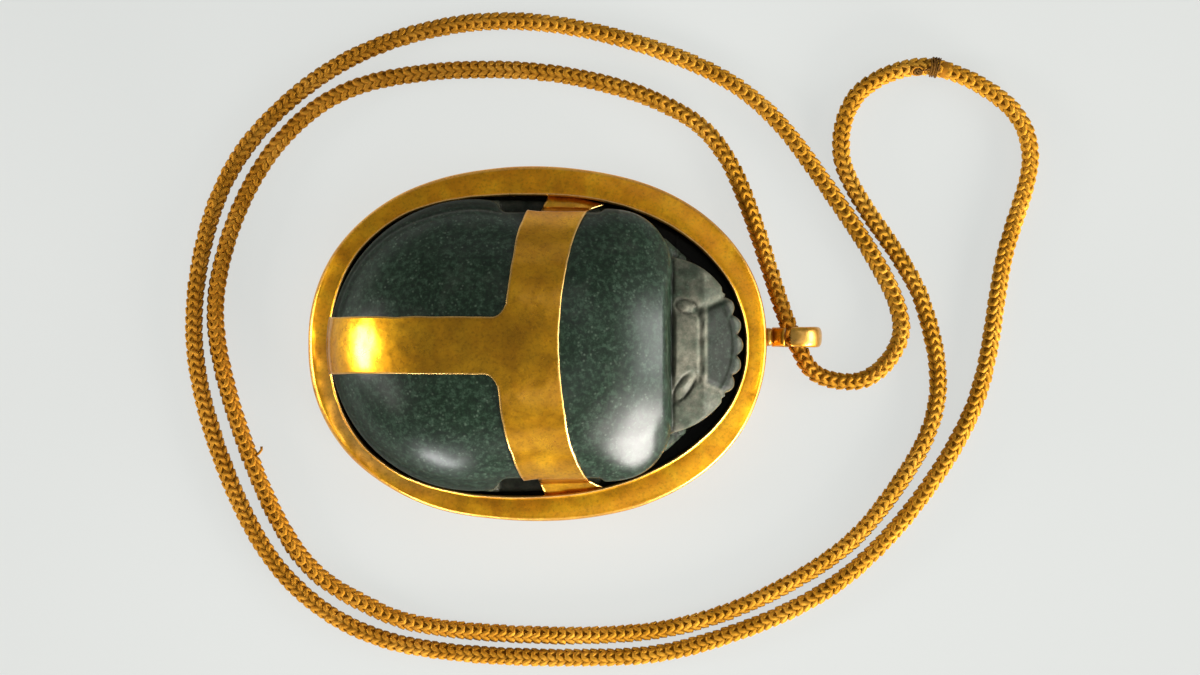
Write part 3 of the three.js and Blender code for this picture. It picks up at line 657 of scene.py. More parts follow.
def stone_mesh():
    xs = np.concatenate([np.arange(-31.6, 18.2, 0.39), np.arange(18.2, 31.9, 0.205)])
    ys = np.arange(-24.2, 23.6, 0.325)
    zs = np.concatenate([np.arange(0.5, 4.3, 0.42), np.arange(4.3, 28.6, 0.325)])
    X, Y, Z = np.meshgrid(xs, ys, zs, indexing="ij")
    F = np.empty(X.shape)
    for i in range(0, len(xs), 16):
        F[i:i + 16] = stone_f(X[i:i + 16], Y[i:i + 16], Z[i:i + 16])
    v, q = surface_nets(F, xs, ys, zs)
    e = 0.02
    for _ in range(4):
        f = stone_f(*v.T)
        g = np.stack([(stone_f(v[:, 0] + e * (k == 0), v[:, 1] + e * (k == 1), v[:, 2] + e * (k == 2)) - f) / e for k in range(3)], 1)
        step = -f[:, None] * g / np.maximum((g * g).sum(1), 0.2)[:, None]
        length = np.linalg.norm(step, axis=1, keepdims=True)
        v = v + step * np.minimum(1, 0.12 / np.maximum(length, 1e-9))
    n = g / np.maximum(np.linalg.norm(g, axis=1, keepdims=True), 1e-9)
    # hand-finished surface: very slight unevenness
    lump = 0.035 * noise(*v.T, 6.5, 3) + 0.014 * noise(*v.T, 2.3, 4)
    v = v + n * lump[:, None] * smooth01((v[:, 2] - 4) / 2)[:, None]
    ob = make_mesh("scarab_stone_carved", v, q, [STONE])
    # where edges are rubbed and paler (partly a painted highlight), where dirt sits and shade is painted (hollows, low
    # down, the clypeus), and where the carving is matt and dusty with age
    inner = -stone_f(*(v - n * 0.5).T)
    outer = stone_f(*(v + n * 0.45).T)
    convex = smooth01((0.40 - inner) / 0.22)
    grime_and_shade = smooth01((0.40 - outer) / 0.22)
    # low down, inside the mount, the stone is darkened: painted shade
    low_shade = smooth01((8.6 - v[:, 2]) / 3.2)
    Y = v[:, 1] - AXIS_Y
    r = np.hypot(v[:, 0] - HEAD_X, Y)
    on_head = smooth01((v[:, 0] - 19.7 - 0.12 * noise(v[:, 1], 0, 0, 1.6, 10)) / 0.6) * smooth01((19.0 - v[:, 2]) / 1.5) * smooth01((v[:, 2] - 11.0) / 2.0)
    # the clypeus, facing away from the light, is kept less dusty and darkened more: painted shade
    front = smooth01((v[:, 0] - 24.9) / 0.5) * smooth01((6.1 + 0.41 * (v[:, 0] - 25.4) - np.abs(Y)) / 0.7) * lerp(1.0, 0.45, smooth01((r - 12.4) / 0.5))
    dust_and_shade = on_head * (1 - 0.93 * front) * (0.74 + 0.38 * noise(*v.T, 1.3, 8)) * lerp(1.0, 0.56, smooth01((np.abs(Y) - 6) / 2))
    side = smooth01((13.5 - v[:, 2]) / 1.5) * (v[:, 0] < 19) * 0.04
    recess = smooth01((v[:, 0] + 7.5) / 1.5) * smooth01((10.5 - v[:, 0]) / 1.0) * smooth01((np.abs(Y) - 18.5) / 1.0) * smooth01((15.0 - v[:, 2]) / 1.0)
    # darkened in hollows (dirt and painted shade), low down and on the clypeus (painted shade), less in the flank
    # recesses
    vertex_value(ob, "grime_and_shade", np.clip(0.8 * grime_and_shade * (1 - 0.5 * on_head) + 0.97 * low_shade + 0.52 * front * on_head, 0, 1) * (1 - 0.45 * recess))
    # the steep border of the wing cases: matt, and darkened as painted shade
    vertex_value(ob, "margin", margin_matt_and_shade(v))
    corner = smooth01((v[:, 0] - 18.4) / 0.5) * smooth01((np.abs(Y) - 11.8) / 0.6) * smooth01((12.6 - v[:, 2]) / 0.5)
    dust_and_shade = dust_and_shade * (1 - 0.14 * smooth01((Y - 6) / 2)) + 0.1 * corner + recess * np.clip(0.24 + 0.22 * noise(*v.T, 1.5, 9), 0, 1)
    vertex_value(ob, "wear_and_glint", convex * smooth01((v[:, 2] - 8.5) / 2) * (1 - 0.4 * on_head) * lerp(1.0, 0.2, smooth01((v[:, 0] - 17.5) / 1.0) * smooth01((20.0 - v[:, 0]) / 0.3)))
    vertex_value(ob, "dust_and_shade", np.clip(dust_and_shade + side, 0, 1))
    th = np.arctan2(Y, v[:, 0] - WAIST_X)
    inside = np.interp(th, ang, BODY_R) - np.hypot(v[:, 0] - WAIST_X, Y)
    margin = (1 - smooth01((inside - 0.6) / 2.6)) * smooth01((v[:, 2] - 12) / 2) * (v[:, 0] < 12)
    brow_end = smooth01((v[:, 0] - 16.6) / 1.2) * smooth01((np.abs(Y) - 8.5) / 2.5) * smooth01((20.0 - v[:, 2]) / 2)
    vertex_value(ob, "matt", np.clip(grime_and_shade + low_shade + on_head + corner + 0.85 * margin + brow_end, 0, 1))
    return ob


stone = stone_mesh()
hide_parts("scarab_stone")
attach(stone, "root")


# ------------------------------------------------------------------ the gold mount
def mount_mesh():
    N = 900
    t = np.linspace(0, 2 * np.pi, N, endpoint=False)
    # resample the angle so that points are evenly spaced round the oval
    fine = np.linspace(0, 2 * np.pi, 20001)
    fx, fy = mount_edge(fine)
    arc = np.concatenate([[0], np.cumsum(np.hypot(np.diff(fx), np.diff(fy)))])
    t = np.interp(np.linspace(0, arc[-1], N, endpoint=False), arc, fine)
    ox, oy = mount_edge(t)
    ix, iy = seat_edge(t)
    s = np.linspace(0, arc[-1], N, endpoint=False)
    cx, cy = np.cos(s / arc[-1] * 2 * np.pi) * 30, np.sin(s / arc[-1] * 2 * np.pi) * 30
    rows, grime_and_shade, wear_and_glint = [], [], []

    def nz(size, seed, k=0.0):
        return noise(cx, cy, k, size, seed)

    width = np.hypot(ox - ix, oy - iy)
    ux, uy = (ix - ox) / width, (iy - oy) / width

    def row(inward, z, grime_shade=0.0, wr=0.0):
        rows.append(np.stack([ox + ux * inward, oy + uy * inward, z + np.zeros(N)], 1))
        grime_and_shade.append(np.full(N, 0.0) + grime_shade)
        wear_and_glint.append(np.full(N, 0.0) + wr)

    # the rim isn't a true oval: how far its lip leans in over the seat, and how far its outside is out of round
    deg = np.arange(0, 361, 15)
    lean = np.interp(np.degrees(np.arctan2(oy, ox)) % 360, deg, [.70, .90, .70, .30, .20, .30, .60, .80, .65, .45, .65, 1.0, 1.1, 1.1, .75, .70, .88, .85, .70, .62, .75, 1.0, 1.15, .95, .70])
    bulk = np.interp(np.degrees(np.arctan2(oy, ox)) % 360, deg, [0, -.04, -.15, -.08, -.10, -.08, .08, .08, .14, .18, .06, -.04, .02, .1, .34, .36, .48, .22, .24, .22, .24, .10, 0, -.14, 0])
    for _ in range(24):
        lean = (np.roll(lean, 1) + lean + np.roll(lean, -1)) / 3
        bulk = (np.roll(bulk, 1) + bulk + np.roll(bulk, -1)) / 3
    ox, oy = ox + bulk * np.cos(np.arctan2(oy, ox)), oy + bulk * np.sin(np.arctan2(oy, ox))
    width = np.hypot(ox - ix, oy - iy)
    ux, uy = (ix - ox) / width, (iy - oy) / width
    width = width + lean
    wob = 0.10 * nz(9, 11) + 0.05 * nz(3.5, 12)
    top = MOUNT_H - 0.12 + 0.07 * nz(12, 13) + 0.03 * nz(4, 14)
    # underside and bottom edge
    row(6.0, 0.03)
    row(3.0, 0.012)
    row(1.0, 0.0)
    for k in np.linspace(0, 1, 5):
        a = k * math.pi / 2
        row(0.75 - 0.5 * math.sin(a), 0.5 - 0.5 * math.cos(a), wr=0.25)
    # edge of the base plate, then the seam, then the wall
    row(0.24, 0.72, wr=0.2)
    # the seam darkened: dirt and painted shade in the crease
    row(0.27, 0.86, grime_shade=0.35)
    row(0.36, 0.93, grime_shade=0.9)
    row(0.33, 1.02, grime_shade=0.7)
    # the wall, darker towards its foot: painted shade
    for k in np.linspace(0, 1, 12):
        z = lerp(1.15, 6.3, k)
        bulge = 0.22 * (1 - (2 * k - 0.9) ** 2 * 0.9)
        row(0.24 - bulge * 0.6 + wob * 0.35 + 0.03 * nz(2.6, 20, z), z, grime_shade=0.25 * (1 - k) ** 2)
    # the rim slopes down outwards; its outer shoulder is rounder at the tail side
    turn = np.arctan2(oy, ox)
    tail = np.clip(np.cos(turn - math.radians(165)), 0, 1) ** 2
    tilt = 0.42 + 0.12 * nz(14, 17) + 0.24 * smooth01((np.cos(turn + math.radians(5)) - 0.1) / 0.5) + 0.28 * tail
    rs = 0.6 + 0.32 * tail
    crown = 0.08 + 0.04 * nz(8, 16)
    lip = 0.42
    rub_and_glint = np.clip(np.cos(turn - math.radians(207)), 0, 1) ** 12       # a burnished, uneven stretch of the lip, paler there from rubbing and partly from a painted glint
    rs = rs + rub_and_glint * (0.5 + 0.25 * nz(2.2, 24))
    steep = np.pi / 2 - np.arctan((tilt + 4 * crown) / np.maximum(width - lip - 0.44 - rs, 0.9))      # the shoulder ends in line with the slope
    # the outer shoulder, paler along its curve: rubbing, partly a painted glint
    for k in np.linspace(0, 1, 11):
        a = k * steep
        row(0.12 + 0.07 * k + rs * (1 - np.cos(a)) + wob * 0.35 * (1 - k), top - tilt - rs * (np.sin(steep) - np.sin(a)) + 0.02 * nz(1.7, 15), wr=0.45 * np.sin(np.pi * k))
    first = 0.19 + rs * (1 - np.cos(steep))
    for k in np.linspace(0.05, 1, 15):
        inward = lerp(first, width - lip - 0.25, k)
        dent = 0.02 * noise(ox + ux * inward, oy + uy * inward, 0, 2.2, 18) + 0.035 * noise(ox + ux * inward, oy + uy * inward, 0, 5.0, 19)
        dent = dent + 0.10 * rub_and_glint * noise(ox + ux * inward, oy + uy * inward, 0, 1.5, 22)
        row(inward, top + crown * (1 - (2 * k - 1) ** 2) + tilt * (k - 1.0) + dent * smooth01(k / 0.2) - 0.01, wr=0.5 * rub_and_glint * k)
    # inner lip: a burnished bead, paler from rubbing and partly from a painted glint
    for k in np.linspace(0, 1, 9):
        a = k * math.pi
        row(width - lip * 0.5 - 0.02 - 0.5 * lip * math.cos(a) + 0.03 * nz(2.0, 21), top + 0.02 + (0.2 + 0.12 * rub_and_glint + 0.1 * rub_and_glint * nz(1.2, 23)) * math.sin(a) - 0.28 * max(0.0, k - 0.55) / 0.45,
            wr=0.85 * math.sin(a))
    # inner wall and floor, dark with dirt and painted shade
    row(width + 0.02, MOUNT_H - 0.62, grime_shade=0.6)
    row(width - 0.1, MOUNT_H - 1.1, grime_shade=1.0)
    row(width - lean, 5.6, grime_shade=1.0)
    row(width - lean, 3.0, grime_shade=1.0)
    row(width - lean, FLOOR_T, grime_shade=1.0)
    row(width - lean + 3.0, FLOOR_T - 0.05, grime_shade=1.0)
    P = np.stack(rows)                                       # rows, N, 3
    n = len(rows)
    verts = P.reshape(-1, 3)
    faces = [grid_faces(n, N, wrap_m=True)[:, ::-1]]
    # close the underside and the floor
    verts = np.concatenate([verts, [[0, 0, 0.03]], [[0, SEAT_Y, FLOOR_T - 0.05]]])
    j = np.arange(N)
    faces.append(np.stack([np.full(N, n * N), (j + 1) % N, j], 1))
    faces.append(np.stack([np.full(N, n * N + 1), (n - 1) * N + j, (n - 1) * N + (j + 1) % N], 1))
    ob = make_mesh("gold_mount_worked", verts, faces, [MOUNT])
    vertex_value(ob, "grime_and_shade", np.concatenate([np.stack(grime_and_shade).ravel(), [0, 1]]))
    vertex_value(ob, "wear_and_glint", np.concatenate([np.stack(wear_and_glint).ravel(), [0, 0]]))
    return ob


mount = mount_mesh()
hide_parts("gold_mount")
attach(mount, "root")


# ------------------------------------------------------------------ the T-shaped strap
def thicken(P, Nrm, quads, t, name, mat, wear_and_glint_extra=None):
    """Gives a sheet of quads a thickness t below it, with rounded cut edges. P is the upper face."""
    n = len(P)
    low = P - Nrm * t
    edges = np.concatenate([quads[:, [0, 1]], quads[:, [1, 2]], quads[:, [2, 3]], quads[:, [3, 0]]])
    key = np.sort(edges, 1)
    _, first, count = np.unique(key[:, 0].astype(np.int64) * n + key[:, 1], return_index=True, return_counts=True)
    rim = edges[first[count == 1]]
    out = np.zeros_like(P)
    d = P[rim[:, 1]] - P[rim[:, 0]]
    side = np.cross(d, Nrm[rim[:, 0]])
    side /= np.maximum(np.linalg.norm(side, axis=1, keepdims=True), 1e-9)
    np.add.at(out, rim[:, 0], side)
    np.add.at(out, rim[:, 1], side)
    out /= np.maximum(np.linalg.norm(out, axis=1, keepdims=True), 1e-9)
    on = np.unique(rim)
    pos = np.full(n, -1)
    pos[on] = np.arange(len(on))
    m = len(on)
    levels = [(0.07, 0.22), (0.10, 0.5), (0.07, 0.8)]
    belts = [P[on] + out[on] * a - Nrm[on] * t * b for a, b in levels]
    verts = np.concatenate([P, low] + belts)
    faces = [quads, quads[:, ::-1] + n]
    a, b = rim[:, 0], rim[:, 1]
    pa, pb = pos[a], pos[b]
    base = 2 * n
    faces.append(np.stack([b, a, base + pa, base + pb], 1))
    for k in range(len(levels) - 1):
        faces.append(np.stack([base + k * m + pb, base + k * m + pa, base + (k + 1) * m + pa, base + (k + 1) * m + pb], 1))
    k = len(levels) - 1
    faces.append(np.stack([base + k * m + pb, base + k * m + pa, n + a, n + b], 1))
    ob = make_mesh(name, verts, [np.concatenate(faces)], [mat])
    # cut edges paler: rubbing, partly a painted glint
    w = np.zeros(len(verts))
    w[on] = 0.55
    for k in range(len(levels)):
        w[base + k * m: base + (k + 1) * m] = 0.9
    if wear_and_glint_extra is not None:
        w[:n] = np.maximum(w[:n], wear_and_glint_extra)
    vertex_value(ob, "wear_and_glint", w)
    # underside darkened: painted shade
    h = np.zeros(len(verts))
    h[n:2 * n] = 0.6
    vertex_value(ob, "grime_and_shade", h)
    return ob


def strap_mesh():
    gap, thick, arm = 0.06, 0.40, 8.2

    def head_edge(a):
        return 3.3 + 3.2 * a * a + 1.4 * np.abs(a) ** 8

    def tail_edge(a):
        b = np.abs(a)
        k = smooth01((a + 0.25) / 0.5)
        return lerp(-6.1, -4.9, k) + lerp(3.3, 2.9, k) * b ** 1.4 + lerp(1.55, 1.15, k) * b ** 8

    a0 = 6.0 / 21.2
    phi0 = math.asin(a0)
    inner = np.linspace(-phi0, phi0, 35)
    outer = np.linspace(phi0, math.radians(73), 88)
    phi = np.concatenate([-outer[::-1], inner[1:-1], outer])
    jun = np.arange(len(outer) - 1, len(outer) - 1 + 35)       # rows where the arm to the tail joins
    C = 31
    cols = np.linspace(0, 1, C)
    a = np.sin(phi)
    xl, xr = tail_edge(a), head_edge(a)
    wob_l = 0.10 * noise(a * 20, 0, 0, 3.1, 31) + 0.04 * noise(a * 20, 0, 0, 1.1, 32)
    wob_r = 0.10 * noise(a * 20, 5, 0, 3.3, 33) + 0.04 * noise(a * 20, 5, 0, 1.0, 34)
    X = lerp((xl + wob_l)[:, None], (xr + wob_r)[:, None], cols[None])
    Y = AXIS_Y + a[:, None] * (body_half(X) - 0.02)
    P, Nn = back_point(X, Y, np.full(X.shape, gap + thick))
    R = len(phi)
    pts, nrm = [P.reshape(-1, 3)], [Nn.reshape(-1, 3)]
    idx = np.arange(R * C).reshape(R, C)
    quads = [np.stack([idx[:-1, :-1], idx[:-1, 1:], idx[1:, 1:], idx[1:, :-1]], -1).reshape(-1, 4)]
    total = R * C

    # arm to the tail, starting from the edge of the cross arm
    left = P[jun, 0]                                            # junction points
    yl = Y[jun, 0] - AXIS_Y
    hw = yl / np.abs(yl).max()                                  # -1 .. 1
    K = 104
    tau = np.linspace(0, 1, K + 1)[1:]
    xj = X[jun, 0]
    rowsT, nT = [], []
    for k, tk in enumerate(tau):
        ph = lerp(0.0, math.radians(84), tk)
        dist = math.sin(ph)
        yv = hw * (arm / 2)
        flare = np.abs(yl) / np.maximum(np.abs(hw), 1e-6) if k < 0 else None
        xt = REAR_X - REAR_A * np.sqrt(1 - (yv / REAR_W) ** 2)
        x = lerp(xj, xt + 0.02, dist)
        away = xj - x
        grow = (np.abs(yl).max() - arm / 2) * np.clip(1 - away / 2.3, 0, 1) ** 2.6
        y = AXIS_Y + hw * (arm / 2 + grow)
        y = y + np.abs(hw) ** 6 * np.sign(hw) * 0.09 * noise(x, np.sign(hw) * 3, 0, 2.9, 36)
        p, nn = back_point(x, y, np.full(x.shape, gap + thick))
        rowsT.append(p)
        nT.append(nn)
    T = np.stack(rowsT)
    TN = np.stack(nT)
    # bend over at the tail and a foot down to the mount
    foot, fn = [], []
    lastx, lasty = T[-1, :, 0], T[-1, :, 1]
    for k in np.linspace(0, 1, 10):
        x = lerp(lastx - 0.28, lastx - 0.62, k) + 0.04 * noise(lasty, k * 3, 0, 1.5, 37)
        z = lerp(16.1, 6.7, k)
        foot.append(np.stack([x, lerp(lasty, AXIS_Y + (lasty - AXIS_Y) * 0.98, k), np.full(x.shape, z)], 1))
        fn.append(np.tile(np.array([-0.995, 0, 0.1]), (len(x), 1)))
    T = np.concatenate([T, np.stack(foot)])
    TN = np.concatenate([TN, np.stack(fn)])
    m = len(jun)
    tid = total + np.arange(T.shape[0] * m).reshape(T.shape[0], m)
    full = np.concatenate([idx[jun, 0][None], tid])
    quads.append(np.stack([full[:-1, :-1], full[:-1, 1:], full[1:, 1:], full[1:, :-1]], -1).reshape(-1, 4))
    pts.append(T.reshape(-1, 3))
    nrm.append(TN.reshape(-1, 3))
    total += T.shape[0] * m

    # feet of the cross arm
    for s, r in ((1, R - 1), (-1, 0)):
        c0 = int(round(C * 0.22))
        n0 = C - c0
        base = P[r, c0:]
        foot, fn = [], []
        F = 18
        u = np.linspace(0, 1, n0)
        for k in np.linspace(0, 1, F + 1)[1:]:
            x = base[:, 0] + lerp(1.0, 2.7, u) * smooth01((k - 0.25) / 0.85)
            wall = seat_y(x, s) - s * (0.42 + 0.06 * np.sin(u * 7 + s))
            # down beside the body, then flared outwards over the edge of the seat
            drop = smooth01(k / 0.5)
            flare = np.clip((k - 0.22) / 0.78, 0, 1) ** 1.15
            y = lerp(base[:, 1] + s * 0.12 * drop, wall, flare)
            z = lerp(base[:, 2], 9.1, drop) - 2.2 * flare + 0.08 * noise(x, y, 0, 1.6, 38)
            foot.append(np.stack([x, y, z], 1))
            lean = lerp(0.97, 0.5, smooth01((k - 0.3) / 0.4))
            fn.append(np.tile(np.array([0.0, s * lean, math.sqrt(1 - lean * lean)]), (n0, 1)))
        Fp, Fn = np.stack(foot), np.stack(fn)
        fid = total + np.arange(F * n0).reshape(F, n0)
        fullf = np.concatenate([idx[r, c0:][None], fid])
        q = np.stack([fullf[:-1, :-1], fullf[:-1, 1:], fullf[1:, 1:], fullf[1:, :-1]], -1).reshape(-1, 4)
        quads.append(q if s > 0 else q[:, ::-1])
        pts.append(Fp.reshape(-1, 3))
        nrm.append(Fn.reshape(-1, 3))
        total += F * n0

    V, NN, Q = np.concatenate(pts), np.concatenate(nrm), np.concatenate(quads)
    # hammered surface
    hammer = 0.06 * noise(*V.T, 3.6, 41) + 0.022 * noise(*V.T, 1.3, 42)
    on_back = smooth01((V[:, 2] - 13.5) / 2)
    V = V + NN * (hammer * (0.35 + 0.65 * on_back))[:, None]
    return thicken(V, NN, Q, thick, "t_strap_sheet", STRAP)


strap = strap_mesh()
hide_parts("t_strap")
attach(strap, "root")


# ------------------------------------------------------------------ the suspension ring
def sweep_closed(sections):
    """Closed skin over a list of equal section loops, capped at both ends."""
    P = np.stack(sections)
    n, m, _ = P.shape
    verts = P.reshape(-1, 3)
    faces = [grid_faces(n, m, wrap_m=True)]
    verts = np.concatenate([verts, [P[0].mean(0)], [P[-1].mean(0)]])
    j = np.arange(m)
    faces.append(np.stack([np.full(m, n * m), j, (j + 1) % m], 1))
    faces.append(np.stack([np.full(m, n * m + 1), (n - 1) * m + (j + 1) % m, (n - 1) * m + j], 1))
    return verts, faces


def ring_mesh():
    parts_v, parts_f, wear_and_glint, grime_and_shade = [], [], [], []
    total = 0

    def add(v, fs, w, h):
        nonlocal total
        parts_v.append(v)
        parts_f.extend([f + total for f in fs])
        wear_and_glint.append(np.full(len(v), w) if np.isscalar(w) else w)
        grime_and_shade.append(np.full(len(v), h) if np.isscalar(h) else h)
        total += len(v)

    # One strip of gold bent into a loop: its free end lies over the part that leaves the mount.
    secs = []
    start, end = math.radians(104), math.radians(-236)
    K, M = 130, 28
    for i in range(K + 1):
        k = i / K
        a = lerp(start, end, k)
        tuck = smooth01((k - 0.80) / 0.14)
        R = RING_R - 0.02 - 0.42 * tuck
        half = lerp(1.5, 1.32, tuck) * (0.93 + 0.07 * smooth01(k / 0.03)) + 0.03 * math.sin(a * 3)
        thick = lerp(0.98, 0.62, tuck) * (0.75 + 0.25 * smooth01(k / 0.04))
        sec = []
        for j in range(M):
            b = 2 * math.pi * j / M
            cy, cr = math.cos(b), math.sin(b)
            yy = half * math.copysign(abs(cy) ** 0.62, cy)
            rr = thick / 2 * math.copysign(abs(cr) ** 0.8, cr)
            crown = 0.16 * (1 - (yy / half) ** 2) if cr > 0 else 0.0
            r = R - thick / 2 - 0.14 + rr + crown
            sec.append([RING_X + r * math.cos(a), RING_Y + yy, RING_Z + r * math.sin(a)])
        secs.append(np.array(sec))
    v, f = sweep_closed(secs)
    v = v + 0.03 * np.stack([noise(*v.T, 1.9, 51), noise(*v.T, 1.9, 52), noise(*v.T, 1.9, 53)], 1)
    rr = np.hypot(v[:, 0] - RING_X, v[:, 2] - RING_Z)
    # outside of the loop paler (rubbing, partly a painted glint), inside darkened (painted shade)
    add(v, f, smooth01((rr - 3.6) / 0.4) * 0.35, smooth01((3.25 - rr) / 0.3) * 0.5)
    # collar: a small plate soldered to the mount's wall
    secs = []
    for x, gy, gz in ((34.12, 1.32, 2.15), (34.3, 1.38, 2.2), (34.62, 1.36, 2.15), (34.95, 1.2, 1.8), (35.1, 1.0, 1.5)):
        sec = []
        for j in range(28):
            b = 2 * math.pi * j / 28
            c, s = math.cos(b), math.sin(b)
            sec.append([x, RING_Y + gy * math.copysign(abs(c) ** 0.5, c), RING_Z + gz * math.copysign(abs(s) ** 0.5, s)])
        secs.append(np.array(sec))
    v, f = sweep_closed(secs)
    add(v, f, 0.15, 0.35)
    ob = make_mesh("suspension_ring_worked", np.concatenate(parts_v), parts_f, [RING])
    vertex_value(ob, "wear_and_glint", np.concatenate(wear_and_glint))
    vertex_value(ob, "grime_and_shade", np.concatenate(grime_and_shade))
    return ob


ring = ring_mesh()
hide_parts("suspension_ring")
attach(ring, "root")


# ------------------------------------------------------------------ the chain
def catmull(points, per):
    """Centripetal Catmull-Rom through the route's points."""
    P = np.array(points, float)
    ext = np.vstack([2 * P[0] - P[1], P, 2 * P[-1] - P[-2]])
    out = []
    s = np.linspace(0, 1, per, endpoint=False)[:, None]
    for i in range(len(P) - 1):
        p0, p1, p2, p3 = ext[i:i + 4]
        d0, d1, d2 = (max(np.dot(b - a, b - a) ** 0.25, 1e-4) for a, b in ((p0, p1), (p1, p2), (p2, p3)))
        t1 = ((p1 - p0) / d0 - (p2 - p0) / (d0 + d1) + (p2 - p1) / d1) * d1
        t2 = ((p2 - p1) / d1 - (p3 - p1) / (d1 + d2) + (p3 - p2) / d2) * d1
        out.append(p1 + t1 * s + (-3 * p1 + 3 * p2 - 2 * t1 - t2) * s ** 2 + (2 * p1 - 2 * p2 + t1 + t2) * s ** 3)
    out.append(P[-1][None])
    return np.vstack(out)


line = catmull(ROUTE, 60)
arc = np.concatenate([[0], np.cumsum(np.hypot(*np.diff(line, axis=0).T))])
grid = np.arange(0, arc[-1], 0.25)
line = np.stack([np.interp(grid, arc, line[:, 0]), np.interp(grid, arc, line[:, 1])], 1)
to_ring = np.hypot(line[:, 0] - RING_X, line[:, 1] - RING_Y)
to_tie = np.hypot(line[:, 0] - BIND[0], line[:, 1] - BIND[1])
height = CHAIN_Z + 1.15 * smooth01(1 - (to_ring - 2.0) / 13) + 0.32 * smooth01(1 - (to_tie - 2.5) / 9)
line = np.column_stack([line, height])
LEN = grid[-1]
tang = np.gradient(line, grid, axis=0)
tang /= np.linalg.norm(tang, axis=1, keepdims=True)
side = np.column_stack([-tang[:, 1], tang[:, 0], np.zeros(len(tang))])
side /= np.linalg.norm(side, axis=1, keepdims=True)
upv = np.cross(tang, side)


def frame_at(s):
    s = np.clip(s, 0, LEN)
    return [np.stack([np.interp(s, grid, a[:, k]) for k in range(3)], -1) for a in (line, side, upv, tang)]


